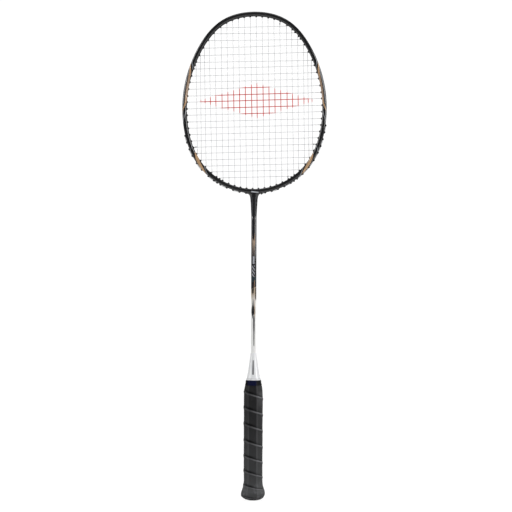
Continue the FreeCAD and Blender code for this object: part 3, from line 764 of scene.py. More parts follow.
# ---------------------------------------------------------------- grip
# one strip wound in a left-hand spiral over the octagonal handle
# sections: (z, width, depth)
GRIP_SECTIONS = [
    (0.9, 19.4, 17.4), (1.5, 22.6, 20.2), (3.0, 27.4, 24.8), (4.8, 30.9, 28.0),
    (6.6, 32.7, 29.7), (8.4, 33.2, 30.2), (10.4, 32.7, 29.8), (13.1, 31.2, 28.4),
    (15.9, 29.2, 26.6), (18.6, 27.6, 25.2), (21.4, 26.4, 24.2), (27.0, 25.4, 23.4),
    (60.0, 25.6, 23.5), (142.0, 25.9, 23.7), (150.0, 25.3, 23.3), (155.5, 24.1, 22.4),
    (158.3, 22.7, 21.4), (161.4, 20.6, 20.2), (165.0, 20.3, 19.9)]
# height of the strip's edge at whole turns, and the turn count there
SEAM_Z = [-2.0, 4.0, 18.6, 37.9, 58.5, 79.9, 102.7, 124.8, 147.0, 169.2, 191.2]
SEAM_TURN = [-0.75 + k for k in range(len(SEAM_Z))]
GRIP_LOW, GRIP_HIGH = 1.0, 161.4
GRIP_COLUMNS = 180
# rows across the strip's width, 0 to 1
STRIP_ROWS = [0.0, 0.004, 0.012, 0.025, 0.045, 0.07, 0.10, 0.14, 0.19, 0.24, 0.29, 0.34,
              0.39, 0.44, 0.49, 0.54, 0.59, 0.64, 0.68, 0.72, 0.755, 0.79, 0.82, 0.85, 0.88,
              0.905, 0.93, 0.95, 0.965, 0.976, 0.985, 0.992, 0.997, 1.0]


def octagon_r(angle, width, depth, power):
    """Radius of a bevelled rectangle; a higher power makes its corners crisper."""
    bevel = GRIP_BEVEL * width / GRIP_W
    diagonal = (width / 2 + depth / 2 - bevel) / math.sqrt(2)
    c, s = abs(math.cos(angle)), abs(math.sin(angle))
    q = ((c / (width / 2)) ** power + (s / (depth / 2)) ** power
         + ((c + s) / math.sqrt(2) / diagonal) ** power)
    return q ** (-1.0 / power)


def strip_height(f):
    """Height of the strip above its base: tucked in at f = 0, proud edge near f = 1."""
    height = 0.12 + 0.08 * min(1.0, f / 0.12)
    height += 0.55 * ease(clamp01((f - 0.80) / 0.13))
    if f < 0.05:
        height -= 0.20 * (1 - f / 0.05)
    if f > 0.965:
        height -= 0.42 * ((f - 0.965) / 0.035) ** 2.2
    return height


def corner_near(x, y, width, depth):
    """1 on an edge between two flats, falling to 0 within 1.5 mm."""
    a, b, bevel = width / 2, depth / 2, GRIP_BEVEL * width / GRIP_W
    distance = min(math.hypot(abs(x) - a, abs(y) - (b - bevel)),
                   math.hypot(abs(x) - (a - bevel), abs(y) - b))
    return max(0.0, 1.0 - distance / 1.5)


def grip_vertex(turn, f, angle):
    """One point of the strip with its place across it and its nearness to a corner."""
    z = float(np.interp(turn + f - angle / (2 * PI), SEAM_TURN, SEAM_Z))
    if z < GRIP_LOW or z > GRIP_HIGH:
        z = min(max(z, GRIP_LOW), GRIP_HIGH)
        f = (float(np.interp(z, SEAM_Z, SEAM_TURN)) + angle / (2 * PI)) % 1.0
    heights, widths, depths = zip(*GRIP_SECTIONS)
    width = smeared(z, heights, widths, half=1.2, count=9)
    depth = smeared(z, heights, depths, half=1.2, count=9)
    fade = clamp01((z - GRIP_LOW) / 5.0) * clamp01((GRIP_HIGH - z) / 6.0)
    flatten = 0.55 + 0.45 * clamp01((z - 14.0) / 20.0)
    height = strip_height(f) * fade * flatten - 0.22
    # broad and fine unevenness of the winding
    c, s = math.cos(angle), math.sin(angle)
    wobble = noise.noise(vec(c * 1.1, s * 1.1, z * 0.055)) * 0.22 * fade
    wobble += noise.noise(vec(c * 3.1 + 7, s * 3.1, z * 0.16)) * 0.09 * fade
    r = octagon_r(angle, width, depth, power=60.0) + height + wobble
    x, y = r * c, r * s
    return (x, y, z), f, corner_near(x, y, width, depth)


def grip_faces(row_count, verts):
    cols, turn_rows = GRIP_COLUMNS, len(STRIP_ROWS)
    faces = []
    for i in range(row_count - 1):
        a, b = i * cols, (i + 1) * cols
        faces += [(a + j, a + j + 1, b + j + 1, b + j) for j in range(cols - 1)]
        # the last column joins the first one of the turn below
        if i >= turn_rows:
            below = (i - turn_rows) * cols
            faces.append((a + cols - 1, below, below + cols, b + cols - 1))
    # leave out faces that fold flat at the two ends
    z = np.array(verts)[:, 2]
    return [q for q in faces if not ((z[list(q)] <= GRIP_LOW + 1e-6).all()
                                     or (z[list(q)] >= GRIP_HIGH - 1e-6).all())]


def turn_in(bm, boundary, strip, rim_z, width, depth, inner_z):
    """Extrude the edge loop at rim_z inward to the handle."""
    edges = [e for e in boundary
             if e.is_valid and all(abs(v.co.z / MM - rim_z) < 0.02 for v in e.verts)]
    made = bmesh.ops.extrude_edge_only(bm, edges=edges)["geom"]
    for v in (item for item in made if isinstance(item, bmesh.types.BMVert)):
        angle = math.atan2(v.co.y, v.co.x)
        r = octagon_r(angle, width, depth, power=22.0)
        v.co = vec(r * math.cos(angle) * MM, r * math.sin(angle) * MM, inner_z * MM)
        v[strip] = 0.5


def wound_grip():
    points = [grip_vertex(turn, f, 2 * PI * j / GRIP_COLUMNS - PI)
              for turn in range(-1, 10) for f in STRIP_ROWS for j in range(GRIP_COLUMNS)]
    faces = grip_faces(len(points) // GRIP_COLUMNS, [p[0] for p in points])
    bm = bmesh.new()
    strip = bm.verts.layers.float.new("strip")
    corner = bm.verts.layers.float.new("corner")
    made = {}
    for i in sorted({i for q in faces for i in q}):
        place, f, near = points[i]
        made[i] = bm.verts.new(tuple(float(c) * MM for c in place))
        made[i][strip] = f
        made[i][corner] = near
    for q in faces:
        bm.faces.new([made[i] for i in q])
    bmesh.ops.remove_doubles(bm, verts=bm.verts, dist=1.5e-6)
    bmesh.ops.dissolve_degenerate(bm, dist=1e-6, edges=bm.edges)
    # close the sleeve with an inner wall between its two turned-in ends
    boundary = [e for e in bm.edges if e.is_boundary]
    turn_in(bm, boundary, strip, GRIP_LOW, width=17.6, depth=15.4, inner_z=1.6)
    turn_in(bm, boundary, strip, GRIP_HIGH, width=17.2, depth=16.8, inner_z=161.4)
    bmesh.ops.bridge_loops(bm, edges=[e for e in bm.edges if e.is_boundary])
    return add_piece(bpy.data.meshes.new("grip_wrap_wound"), bm, "grip_wrap",
                     sharp_deg=62)


grip = wound_grip()

# ---------------------------------------------------------------- finishing tape
# sections (z, width, depth): up the outside, then down the inside
TAPE_OUTER = [(158.9, 22.82, 21.76), (158.95, 23.04, 21.98), (159.3, 22.9, 21.8),
              (160.4, 22.0, 21.2), (161.5, 21.36, 20.92), (162.6, 21.16, 20.76),
              (164.0, 20.94, 20.54), (165.4, 20.78, 20.38), (165.52, 20.6, 20.2)]
TAPE_INNER = [(165.5, 20.36, 19.96), (161.5, 20.78, 20.38), (160.4, 21.42, 20.74),
              (158.9, 22.42, 21.3)]
TAPE_SIDES = 288
TAPE_LAP = 0.10                            # extra thickness where the tape overlaps itself


def finishing_tape():
    sections = TAPE_OUTER + TAPE_INNER
    verts = []
    for row, (z, width, depth) in enumerate(sections):
        for j in range(TAPE_SIDES):
            angle = 2 * PI * j / TAPE_SIDES
            r = octagon_r(angle, width, depth, power=90.0)
            if row < len(TAPE_OUTER) and -2.2 < ((angle + PI) % (2 * PI) - PI) < -0.55:
                r += TAPE_LAP
            verts.append((r * math.cos(angle), r * math.sin(angle), z))
    return make_piece("finishing_tape_wound", verts,
                      grid(len(sections), TAPE_SIDES, close_rows=True),
                      "grip_finishing_tape", "finishing_tape", sharp_deg=45)


tape = finishing_tape()

# ---------------------------------------------------------------- butt cap and disc
# sections (z, width, depth): the round recess in the end, then the outside going up
CAP_RECESS = [(0.86, 10.9, 10.9), (0.3, 10.92, 10.92), (0.1, 11.0, 11.0)]
CAP_OUTER = [(0.06, 11.6, 11.4), (0.0, 13.2, 12.0), (0.05, 14.4, 12.9), (0.22, 15.6, 13.9),
             (0.55, 16.6, 14.7), (1.1, 17.3, 15.2), (1.8, 19.4, 17.0), (4.8, 27.0, 24.2),
             (8.4, 29.4, 26.4), (16.0, 25.3, 22.7), (25.9, 21.8, 19.8)]
CAP_SIDES = 96


def butt_cap():
    sections = CAP_RECESS + CAP_OUTER
    verts = []
    for row, (z, width, depth) in enumerate(sections):
        # circle at the recess, octagon from the third outer section on
        square = clamp01((row - len(CAP_RECESS) + 1) / 3.0)
        for j in range(CAP_SIDES):
            angle = 2 * PI * j / CAP_SIDES
            r = (width / 2 * (1 - square)
                 + octagon_r(angle, width, depth, power=16.0) * square)
            verts.append((r * math.cos(angle), r * math.sin(angle), z))
    return make_piece("butt_cap_moulded", verts, capped_grid(len(sections), CAP_SIDES),
                      "butt_cap", "butt_plastic", sharp_deg=45)


cap = butt_cap()

# (radius, z): inner face, edge, raised ring, shallow dish
DISC_PROFILE = [(0.02, 0.8), (5.2, 0.8), (5.38, 0.7), (5.4, 0.5), (5.36, 0.2), (5.22, 0.06),
                (4.9, 0.02), (4.55, 0.03), (4.4, 0.14), (4.2, 0.17), (4.0, 0.12),
                (3.0, 0.06), (1.5, 0.03), (0.02, 0.02)]
disc = lathe("butt_end_disc_domed", DISC_PROFILE, 72, replaced="butt_end_disc",
             slot="disc_plastic", sharp_deg=50)


# ---------------------------------------------------------------- shader helpers
def add_node(tree, kind, **settings):
    node = tree.nodes.new("ShaderNode" + kind)
    for key, value in settings.items():
        setattr(node, key, value)
    return node


def feed(tree, socket, item):
    """Link a Value or an output into a socket, or set the socket to a constant."""
    if isinstance(item, Value):
        item = item.socket
    if isinstance(item, bpy.types.NodeSocket):
        tree.links.new(item, socket)
    else:
        socket.default_value = item


class Value:
    """A number in a shader; arithmetic on it adds math nodes."""

    def __init__(self, tree, socket):
        self.tree, self.socket = tree, socket

    def math(self, operation, *others, clamp=False):
        node = add_node(self.tree, "Math", operation=operation, use_clamp=clamp)
        for i, item in enumerate((self,) + others):
            feed(self.tree, node.inputs[i], item)
        return Value(self.tree, node.outputs[0])

    def __add__(self, other): return self.math("ADD", other)
    __radd__ = __add__
    def __sub__(self, other): return self.math("SUBTRACT", other)
    def __rsub__(self, other): return (self * -1.0) + other
    def __mul__(self, other): return self.math("MULTIPLY", other)
    def abs(self): return self.math("ABSOLUTE")
    def max(self, other): return self.math("MAXIMUM", other)
    def fract(self): return self.math("FRACT")
    def sin(self): return self.math("SINE")
    def sqrt(self): return self.math("SQRT")

    def step(self, lo, hi):
        """0 below lo, 1 above hi, smooth between."""
        node = add_node(self.tree, "MapRange", interpolation_type="SMOOTHSTEP")
        for key, item in (("Value", self), ("From Min", lo), ("From Max", hi)):
            feed(self.tree, node.inputs[key], item)
        return Value(self.tree, node.outputs["Result"])

    def negative(self, soft):
        """1 below zero, 0 above it."""
        return 1.0 - self.step(-soft, soft)

    def within(self, half, soft):
        """1 less than half away from zero."""
        return (self.abs() - half).negative(soft)

    def inside(self, lo, hi, soft):
        """1 between lo and hi."""
        return (self - lo).step(-soft, soft) * (self - hi).negative(soft)

    def curve(self, points, top, bottom=0.0, span=None):
        """A drawn curve through (x, y) points, y from bottom to top, x over span."""
        points = sorted(points)
        x0, x1 = span or (points[0][0], points[-1][0])
        node = add_node(self.tree, "FloatCurve")
        drawn = node.mapping.curves[0].points
        while len(drawn) < len(points):
            drawn.new(0.5, 0.5)
        for point, (x, y) in zip(drawn, points):
            point.location = ((x - x0) / (x1 - x0), (y - bottom) / (top - bottom))
            point.handle_type = "AUTO_CLAMPED"
        node.mapping.update()
        part = ((self - x0) * (1.0 / (x1 - x0))).math("ADD", 0.0, clamp=True)
        feed(self.tree, node.inputs["Value"], part)
        return Value(self.tree, node.outputs[0]) * (top - bottom) + bottom


class Material:
    """A material whose colour is painted in layers, in object space millimetres."""

    def __init__(self, name):
        self.material = bpy.data.materials.new(name)
        self.material.use_nodes = True
        self.tree = self.material.node_tree
        self.shader = self.tree.nodes["Principled BSDF"]
        self.place = add_node(self.tree, "TexCoord").outputs["Object"]

    def node(self, kind, inputs, output, **settings):
        """Add a node, feed its inputs and return one output socket."""
        node = add_node(self.tree, kind, **settings)
        for key, item in inputs.items():
            feed(self.tree, node.inputs[key], item)
        return node.outputs[output]

    def value(self, *args, **settings):
        return Value(self.tree, self.node(*args, **settings))

    @cached_property
    def split(self):
        node = add_node(self.tree, "SeparateXYZ")
        feed(self.tree, node.inputs[0], self.place)
        return node.outputs

    @cached_property
    def x(self): return Value(self.tree, self.split[0]) * 1000.0
    @cached_property
    def y(self): return Value(self.tree, self.split[1]) * 1000.0
    @cached_property
    def z(self): return Value(self.tree, self.split[2]) * 1000.0

    def mirrored_x(self):
        """X, turned round on the back so a print reads the same from both sides."""
        return self.x * ((self.y.step(-0.01, 0.01) * 2.0 - 1.0) * -1.0)

    def facing(self):
        """0 where the surface faces the viewer, 1 at the silhouette."""
        return self.value("LayerWeight", {"Blend": 0.5}, "Facing")

    def attribute(self, name):
        return self.value("Attribute", {}, "Fac", attribute_name=name)

    def noise(self, scale, detail=2.0, rough=0.5, w=0.0, stretch=None):
        place = self.place
        if stretch:
            place = self.node("Mapping", {"Scale": stretch, 0: place}, 0)
        return self.value("TexNoise", {"W": w, "Scale": scale, "Detail": detail,
                                       "Roughness": rough, "Vector": place},
                          "Fac", noise_dimensions="4D")

    def voronoi(self, scale):
        return self.value("TexVoronoi", {"Scale": scale, "Vector": self.place}, "Distance")

    def mix(self, factor, a, b):
        return self.node("Mix", {0: factor, 6: a, 7: b}, 2, data_type="RGBA")

    def paint(self, mask, colour):
        """Lay a colour over what is painted so far, where the mask is 1."""
        self.colour = self.mix(mask, self.colour, colour)

    def surface(self, **inputs):
        """Feed the painted colour and the named inputs to the surface shader."""
        for key, item in {"base_color": self.colour, **inputs}.items():
            name = " ".join(word[0].upper() + word[1:] for word in key.split("_"))
            feed(self.tree, self.shader.inputs[name], item)

    def gloss(self, edge, specular, roughness):
        """Clear-coated surface that loses its shine towards the silhouette."""
        shine = 1.0 - self.facing().step(*edge)
        self.surface(roughness=roughness, specular_IOR_level=shine * specular,
                     coat_weight=shine * 0.8, coat_IOR=1.5, coat_roughness=0.06)

    def bump(self, height, strength, distance, into="Normal"):
        feed(self.tree, self.shader.inputs[into], self.node(
            "Bump", {"Strength": strength, "Distance": distance, "Height": height}, 0))

    def cover(self, *objects):
        for ob in objects:
            ob.data.materials.clear()
            ob.data.materials.append(self.material)


def srgb(*channels):
    """8-bit display colour to linear, with full alpha."""
    linear = [c / 255.0 / 12.92 if c / 255.0 <= 0.04045
              else ((c / 255.0 + 0.055) / 1.055) ** 2.4 for c in channels]
    return (*linear, 1.0)


def grey(level):
    return (level, level, level, 1.0)


# ---------------------------------------------------------------- materials
def string_material():
    """White multifilament with the stencilled red lozenge."""
    m = Material("string_multifilament")
    twist = (m.x * 0.9 + m.z * 0.9 + m.y * 1.6) * (2 * PI / 0.62)
    twist = twist.sin() * 0.5 + 0.5
    fuzz = m.noise(scale=900.0, rough=0.6)
    ragged = m.noise(scale=420.0, rough=0.7, w=3.0) * 0.16
    across = (m.x - INK_X).abs() * (1.0 / INK_W)
    up = (m.z - INK_Z).abs() * (1.0 / INK_H)
    lozenge = 1.0 - (across + up + ragged - 0.08).step(0.95, 1.02)
    patchy = m.noise(scale=260.0, rough=0.6, w=8.0).step(0.22, 0.42) * 0.12 + 0.88
    wear = m.noise(scale=35.0, detail=3.0, w=1.0).step(0.3, 0.75)
    m.colour = m.mix(wear, srgb(214, 215, 217), srgb(204, 205, 208))
    m.paint(twist * 0.22, srgb(176, 178, 182))
    m.paint(lozenge * patchy, srgb(206, 16, 3))
    m.surface(roughness=fuzz * 0.18 + 0.26, specular_IOR_level=0.55 - lozenge * 0.45,
              coat_weight=0.25 - lozenge * 0.25)
    m.bump(twist * 0.7 + fuzz * 0.3, strength=0.30, distance=0.00006)
    return m


def painted_sheen_lines(m, across, left_reach, right_reach):
    """Two soft upright lines of painted reflection, shared by the throat and the shaft."""
    m.paint((across + 1.9).inside(-0.55, 0.55, soft=0.3) * left_reach * 0.8,
            srgb(62, 64, 70))
    m.paint((across - 1.5).inside(-0.4, 0.4, soft=0.25) * right_reach * 0.7,
            srgb(58, 60, 66))


# Leaves on the hoop. Centre points are (height, outward from the middle line), width
# points are (height, half width).
UPPER_CENTRE = [(635.858, 4.5), (602.6828, 2.7), (594.389, 0.2), (580.566, -1.5),
                (555.6846, -1.8), (544.6262, 0.0), (536.3324, 2.7), (518.3625, 4.5)]
UPPER_WIDTH = [(635.858, 0.0), (606.8297, 0.0), (598.5359, 0.9), (586.0952, 1.3),
               (566.743, 1.35), (552.92, 1.15), (541.8616, 0.7), (533.5678, 0.0),
               (518.3625, 0.0)]
LOWER_CENTRE = [(497.628, -5.0), (482.4227, -3.6), (478.2758, -2.7), (467.2174, -0.3),
                (457.5413, 1.5), (452.0121, 2.8), (435.4245, 5.0)]
LOWER_WIDTH = [(497.628, 0.0), (483.1139, 0.0), (476.8935, 1.1), (468.5997, 1.9),
               (461.6882, 1.7), (454.0856, 0.5), (452.0121, 0.0), (435.4245, 0.0)]


def frame_material():
    """Black gloss with flat tan leaves and silver lines."""
    m = Material("frame_gloss_lacquer")
    across, along = m.attribute("across"), m.attribute("along")
    depth = m.y.abs()
    face = depth.step(1.9, 2.35).max(1.0 - across.step(2.0, 2.3))
    silver, grain_scale = srgb(138, 140, 144), 130.0

    def between(z_top, z_low, soft):
        return along.inside(arc_at_height(z_top), arc_at_height(z_low), soft)

    def leaf(centre, half_width):
        """Distance outside a leaf's edge."""
        centre, half_width = ([(arc_at_height(z), v) for z, v in points]
                              for points in (centre, half_width))
        span = (0.0, 420.0)
        middle = along.curve(centre, top=5.0, bottom=-5.0, span=span)
        return (across - middle).abs() - along.curve(half_width, top=5.0, span=span)

    def slash(z0, n0, z1, n1, width, colour):
        """A straight line from height z0, outward n0, to height z1, outward n1."""
        s0, s1 = arc_at_height(z0), arc_at_height(z1)
        slope = (n1 - n0) / (s1 - s0)
        line = (across - ((along - s0) * slope + n0)).within(
            width * math.sqrt(1 + slope * slope) / 2, soft=0.08)
        m.paint(line * along.inside(s0 - 2, s1 + 2, soft=0.3) * face, colour)

    weave = ((m.x * 0.8 + m.z * 0.8).sin() * (m.x * 0.8 - m.z * 0.8).sin()) * 0.5 + 0.5
    peel = m.noise(scale=60.0)
    flake = m.noise(scale=1500.0, detail=1.0, w=2.0).step(0.62, 0.78)
    m.colour = m.mix(weave * 0.25 + peel * 0.3, srgb(12, 12, 14), srgb(20, 21, 24))
    m.paint(flake * 0.12, srgb(60, 64, 72))

    # upper leaf over its brown shadow line
    outside = leaf(UPPER_CENTRE, UPPER_WIDTH)
    live = between(605.4474, 534.9501, soft=0.6)
    m.paint((outside - 0.42).negative(0.08) * live * face, srgb(58, 46, 38))
    grain = m.noise(scale=grain_scale, w=5.0)
    tan = m.mix(grain.step(0.3, 0.7), srgb(184, 148, 110), srgb(176, 142, 108))
    tan = m.mix(between(587.4775, 554.3023, soft=9.0) * 0.75, tan, srgb(142, 124, 110))
    m.paint(outside.negative(0.09) * live * face, tan)

    # silver band beside it, with a dark line along its middle
    reach = between(592.3156, 548.082, soft=1.2)
    m.paint(across.inside(0.75, 1.75, soft=0.09) * reach * face, silver)
    m.paint(across.inside(1.12, 1.42, soft=0.06) * reach * face, srgb(40, 41, 46))
    slash(539.097, -3.4, 523.8917, 2.7, width=0.8, colour=silver)
    slash(607.52085, 3.2, 598.5359, -2.0, width=0.55, colour=srgb(150, 154, 160))

    # wide lower leaf between two slashes
    outside = leaf(LOWER_CENTRE, LOWER_WIDTH)
    live = between(483.805, 452.0121, soft=0.6)
    m.paint((outside - 0.38).negative(0.09) * live * face, srgb(92, 68, 50))
    m.paint(outside.negative(0.1) * live * face,
            m.mix(grain.step(0.3, 0.7), srgb(182, 150, 114), srgb(172, 138, 102)))
    slash(459.61475, -3.3, 449.93865, 3.3, width=0.7, colour=silver)
    slash(490.02535, -3.3, 482.4227, 3.3, width=0.5, colour=srgb(140, 143, 148))

    # short bar over the throat
    bar = (m.z - 425.6 + (m.x - 1.5) * 0.12).inside(-0.8, 0.8, soft=0.15)
    m.paint(m.x.inside(-3.6, 6.6, soft=0.25) * bar * depth.step(4.0, 4.6),
            srgb(176, 180, 186))
    # painted reflection lines down the throat, spreading with it and carried on by the shaft
    narrowing = m.z.curve([(388.0, 1.0), (400.0, 0.9), (412.0, 0.75), (421.0, 0.6)], top=1.0)
    reach = m.z.inside(380.0, 419.0, soft=4.0)
    painted_sheen_lines(m, m.x * narrowing, reach, reach)
    m.gloss(edge=(0.3, 0.75), specular=0.35, roughness=peel * 0.10 + 0.16)
    m.bump(peel * 0.7 + weave * 0.3, strength=0.10, distance=0.00012)
    m.bump(m.noise(scale=38.0, rough=0.45, w=9.0), strength=0.05, distance=0.0002,
           into="Coat Normal")
    return m


def grommet_material():
    m = Material("grommet_black_nylon")
    fine = m.noise(scale=700.0, detail=3.0, rough=0.6)
    m.colour = m.mix(m.noise(scale=90.0, w=4.0), srgb(26, 26, 28), srgb(40, 40, 43))
    m.surface(roughness=fine * 0.15 + 0.34)
    m.bump(fine, strength=0.18, distance=0.00008)
    return m


def shaft_material():
    """Near-black above, pale below, with printed marks that repeat on the back."""
    m = Material("shaft_gloss_lacquer")
    z, across = m.z, m.mirrored_x()
    peel = m.noise(scale=70.0)
    flake = m.noise(scale=1500.0, detail=1.0, w=2.0).step(0.64, 0.8)
    m.colour = m.mix(peel * 0.6, srgb(11, 12, 16), srgb(18, 20, 28))
    m.paint(flake * 0.12, srgb(60, 64, 72))
    # two soft upright lines of painted reflection down the upper shaft
    painted_sheen_lines(m, across, z.inside(372.0, 420.0, soft=6.0), z.inside(366.0, 420.0, soft=6.0))

    # taupe block with a notched top, and a tapering streak up from each side of it
    streak = z.curve([(352.0, 0.0), (356.0, 0.5), (361.0, 0.42), (366.0, 0.25),
                      (371.0, 0.0), (380.0, 0.0)], top=1.0)
    taupe = m.mix((z - 348.0).step(-9.0, 11.0), srgb(78, 72, 70), srgb(160, 142, 124))
    blotch = m.noise(scale=160.0, w=6.0).step(0.4, 0.65)
    taupe = m.mix(blotch * 0.25, taupe, srgb(92, 84, 80))
    notch = (across - 0.4).abs() * 2.4 + 357.5
    m.paint((z - notch).negative(0.6) * (z - 337.4).step(-0.2, 0.2)
            * (across + 0.15).within(1.95, soft=0.25), taupe)
    m.paint((across - 1.35).within(streak, soft=0.12), srgb(164, 134, 106))
    m.paint((across + 1.9).within(streak * 0.7, soft=0.12), srgb(120, 108, 98))

    # one plain bar, then a row of short slanted bars
    m.paint(z.inside(326.4, 336.8, soft=0.25) * across.inside(-1.25, 1.1, soft=0.16),
            srgb(166, 168, 174))
    hatch = ((z + across * 1.5) * (1.0 / 5.3)).fract().inside(0.12, 0.66, soft=0.05)
    m.paint(hatch * z.inside(308.6, 324.2, soft=0.3) * across.inside(-2.1, 1.5, soft=0.18),
            srgb(150, 152, 158))
    # teal-black ring, and a slanting tan streak
    m.paint(z.inside(301.2, 308.2, soft=0.6), srgb(30, 46, 52))
    slant = (across - 1.1 - (z - 298.0) * 0.06).inside(-0.5, 0.5, soft=0.2)
    m.paint(z.inside(292.4, 304.0, soft=1.6) * slant, srgb(138, 112, 90))

    # pale lower part, with dark strokes at its top
    lower = (z - 293.2 - across * 0.5).negative(0.5)
    m.paint(lower, m.mix((z - 279.0).step(-6.0, 9.0),
                         srgb(222, 219, 214), srgb(170, 154, 136)))
    olive = z.curve([(270.0, 0.0), (281.0, 0.0), (286.0, 0.6), (286.5, 1.3), (293.5, 1.7),
                     (300.0, 1.7)], top=2.0)
    m.paint((across + 1.1).within(olive, soft=0.3) * lower, srgb(58, 56, 48))
    m.paint((across - 2.3).step(-0.25, 0.25) * z.inside(277.0, 294.0, soft=2.0) * lower,
            srgb(44, 38, 34))
    white = 1.0 - (z - 268.0).step(-14.0, 12.0)
    m.paint(white * lower, srgb(234, 234, 233))
    # dark spindle with a narrower beige one beside it
    spindle = z.curve([(240.0, 0.0), (248.0, 0.0), (252.0, 0.5), (256.0, 1.25),
                       (260.5, 2.0), (265.0, 1.7), (270.0, 0.9), (276.0, 0.4),
                       (280.0, 0.0), (290.0, 0.0)], top=3.0)
    m.paint((across - 1.5).within(spindle * 0.55, soft=0.25) * lower, srgb(164, 148, 132))
    m.paint((across + 0.8 - (z - 262.0) * 0.02).within(spindle, soft=0.15) * lower,
            srgb(24, 25, 30))
    # tapering pinstripe down the white part
    stripe = z.curve([(205.0, 0.0), (211.5, 0.0), (214.0, 0.28), (230.0, 0.42),
                      (247.0, 0.62), (253.5, 0.3), (256.0, 0.0), (262.0, 0.0)], top=1.0)
    m.paint((across - 0.75).within(stripe * 1.75, soft=0.1)
            * z.inside(211.5, 257.0, soft=0.5), srgb(18, 19, 26))
    m.gloss(edge=(0.25, 0.65), specular=0.3, roughness=peel * 0.08 + 0.17)
    m.bump(peel, strength=0.08, distance=0.0001)
    return m


def cone_material():
    """White plastic with a tapering dark bar on the front and back."""
    m = Material("cone_white_gloss_plastic")
    cloud = m.noise(scale=55.0, detail=3.0)
    speck = m.noise(scale=900.0, w=2.0)
    m.colour = m.mix(cloud, srgb(228, 229, 230), srgb(220, 221, 223))
    half_width = m.z.curve([(165.0, 0.0), (173.2, 0.0), (174.2, 1.2), (184.0, 1.05),
                            (193.0, 0.65), (194.0, 0.0), (205.0, 0.0)], top=1.5)
    bar = m.mirrored_x().within(half_width, soft=0.12) * m.z.inside(173.4, 194.0, soft=0.4)
    m.paint(bar * 0.85, srgb(62, 62, 68))
    # fine shadow line above the lip
    m.paint(m.z.inside(168.2, 169.0, soft=0.12) * 0.4, srgb(160, 161, 166))
    m.surface(roughness=cloud * 0.08 + 0.2, coat_weight=0.35, coat_roughness=0.08)
    m.bump(speck * 0.5 + cloud * 0.5, strength=0.06, distance=0.0001)
    return m


def grip_material():
    """Soft polyurethane strip: dark and grained, greyer low down, with painted highlights on
    its edges and ridges and painted shade on its front, left side and crevices.
    """
    m = Material("grip_polyurethane_skin")
    x, z = m.x, m.z
    across = m.attribute("strip")
    grain, pit = m.voronoi(scale=2600.0), m.voronoi(scale=900.0)
    cloud = m.noise(scale=45.0, detail=4.0, rough=0.6)
    smear = m.noise(scale=20.0, detail=3.0, rough=0.55, w=3.0)
    low = 1.0 - z.step(8.0, 34.0)
    m.colour = m.mix(cloud, srgb(16, 16, 18), srgb(30, 30, 32))
    # paler towards the butt
    m.paint((1.0 - z.step(10.0, 120.0)) * 0.85, srgb(56, 57, 58))
    # lighter still over the upward-facing slope of the flare, a painted highlight
    m.paint(low * (0.3 + z.step(7.0, 14.0) * 0.5), srgb(78, 79, 80))
    # scuff on the upper right; mottled painted shade over the upper front face
    scuff = z.inside(131.0, 149.0, soft=4.0) * x.step(4.0, 9.0) * smear.step(0.35, 0.6)
    m.paint(scuff * 0.6, srgb(84, 84, 86))
    front_shade_blot = m.noise(scale=60.0, detail=3.0, rough=0.6, w=11.0).step(0.42, 0.62)
    front_shade_blot = front_shade_blot * (1.0 - m.y.step(-11.0, -8.0)) * z.step(70.0, 130.0)
    m.paint(front_shade_blot * 0.6, srgb(10, 10, 12))
    # painted highlight along the edges between the flats
    m.paint(m.attribute("corner") * 0.35, srgb(104, 104, 107))
    # painted shade over the upper front and left, away from the stronger light on the right
    m.paint(z.step(80.0, 135.0) * (1.0 - x.step(3.0, 9.0)) * 0.7, srgb(5, 5, 6))
    # shade where the strip tucks under the next turn
    tuck = (1.0 - across.step(0.03, 0.20)) * (1.0 - x.step(-3.0, 8.0) * 0.8)
    tuck = tuck * x.step(-12.5, -8.0)
    m.paint(tuck * 0.85, srgb(4, 4, 5))
    # painted highlights in patches over the creased flare
    crumple_highlight = m.noise(scale=150.0, detail=3.0, rough=0.6, w=13.0).step(0.5, 0.66) * low
    m.paint(crumple_highlight * 0.45, srgb(104, 104, 108))
    # painted highlight on the proud edge, stronger to the right where the light falls, and
    # painted shade in the crevice beside it
    ridge_highlight = 0.14 + smear.step(0.3, 0.65) * 0.2 + x.step(-6.0, 8.0) * 0.55 - low * 0.1
    m.paint(across.inside(0.885, 0.975, soft=0.02) * ridge_highlight, srgb(106, 106, 109))
    crevice_shade = (1.0 - across.step(0.0, 0.075)).max(across.step(0.972, 0.995))
    m.paint(crevice_shade * 0.9, srgb(8, 8, 9))
    m.paint(grain.step(0.25, 0.6) * 0.18, srgb(30, 30, 31))
    shine = (1.0 - m.facing().step(0.3, 0.8)) * 0.26 + 0.02
    m.surface(roughness=cloud * 0.16 + 0.46 - m.attribute("corner") * 0.12,
              specular_IOR_level=shine * (1.0 - tuck * 0.85),
              sheen_weight=0.04, sheen_roughness=0.5)
    wrinkle = m.noise(scale=110.0, detail=3.0, rough=0.55, w=6.0, stretch=(1.0, 1.0, 2.2))
    m.bump(grain * 0.5 + pit * 0.2 + cloud * 0.8 + wrinkle * low * 3.0,
           strength=0.42, distance=0.00038)
    return m


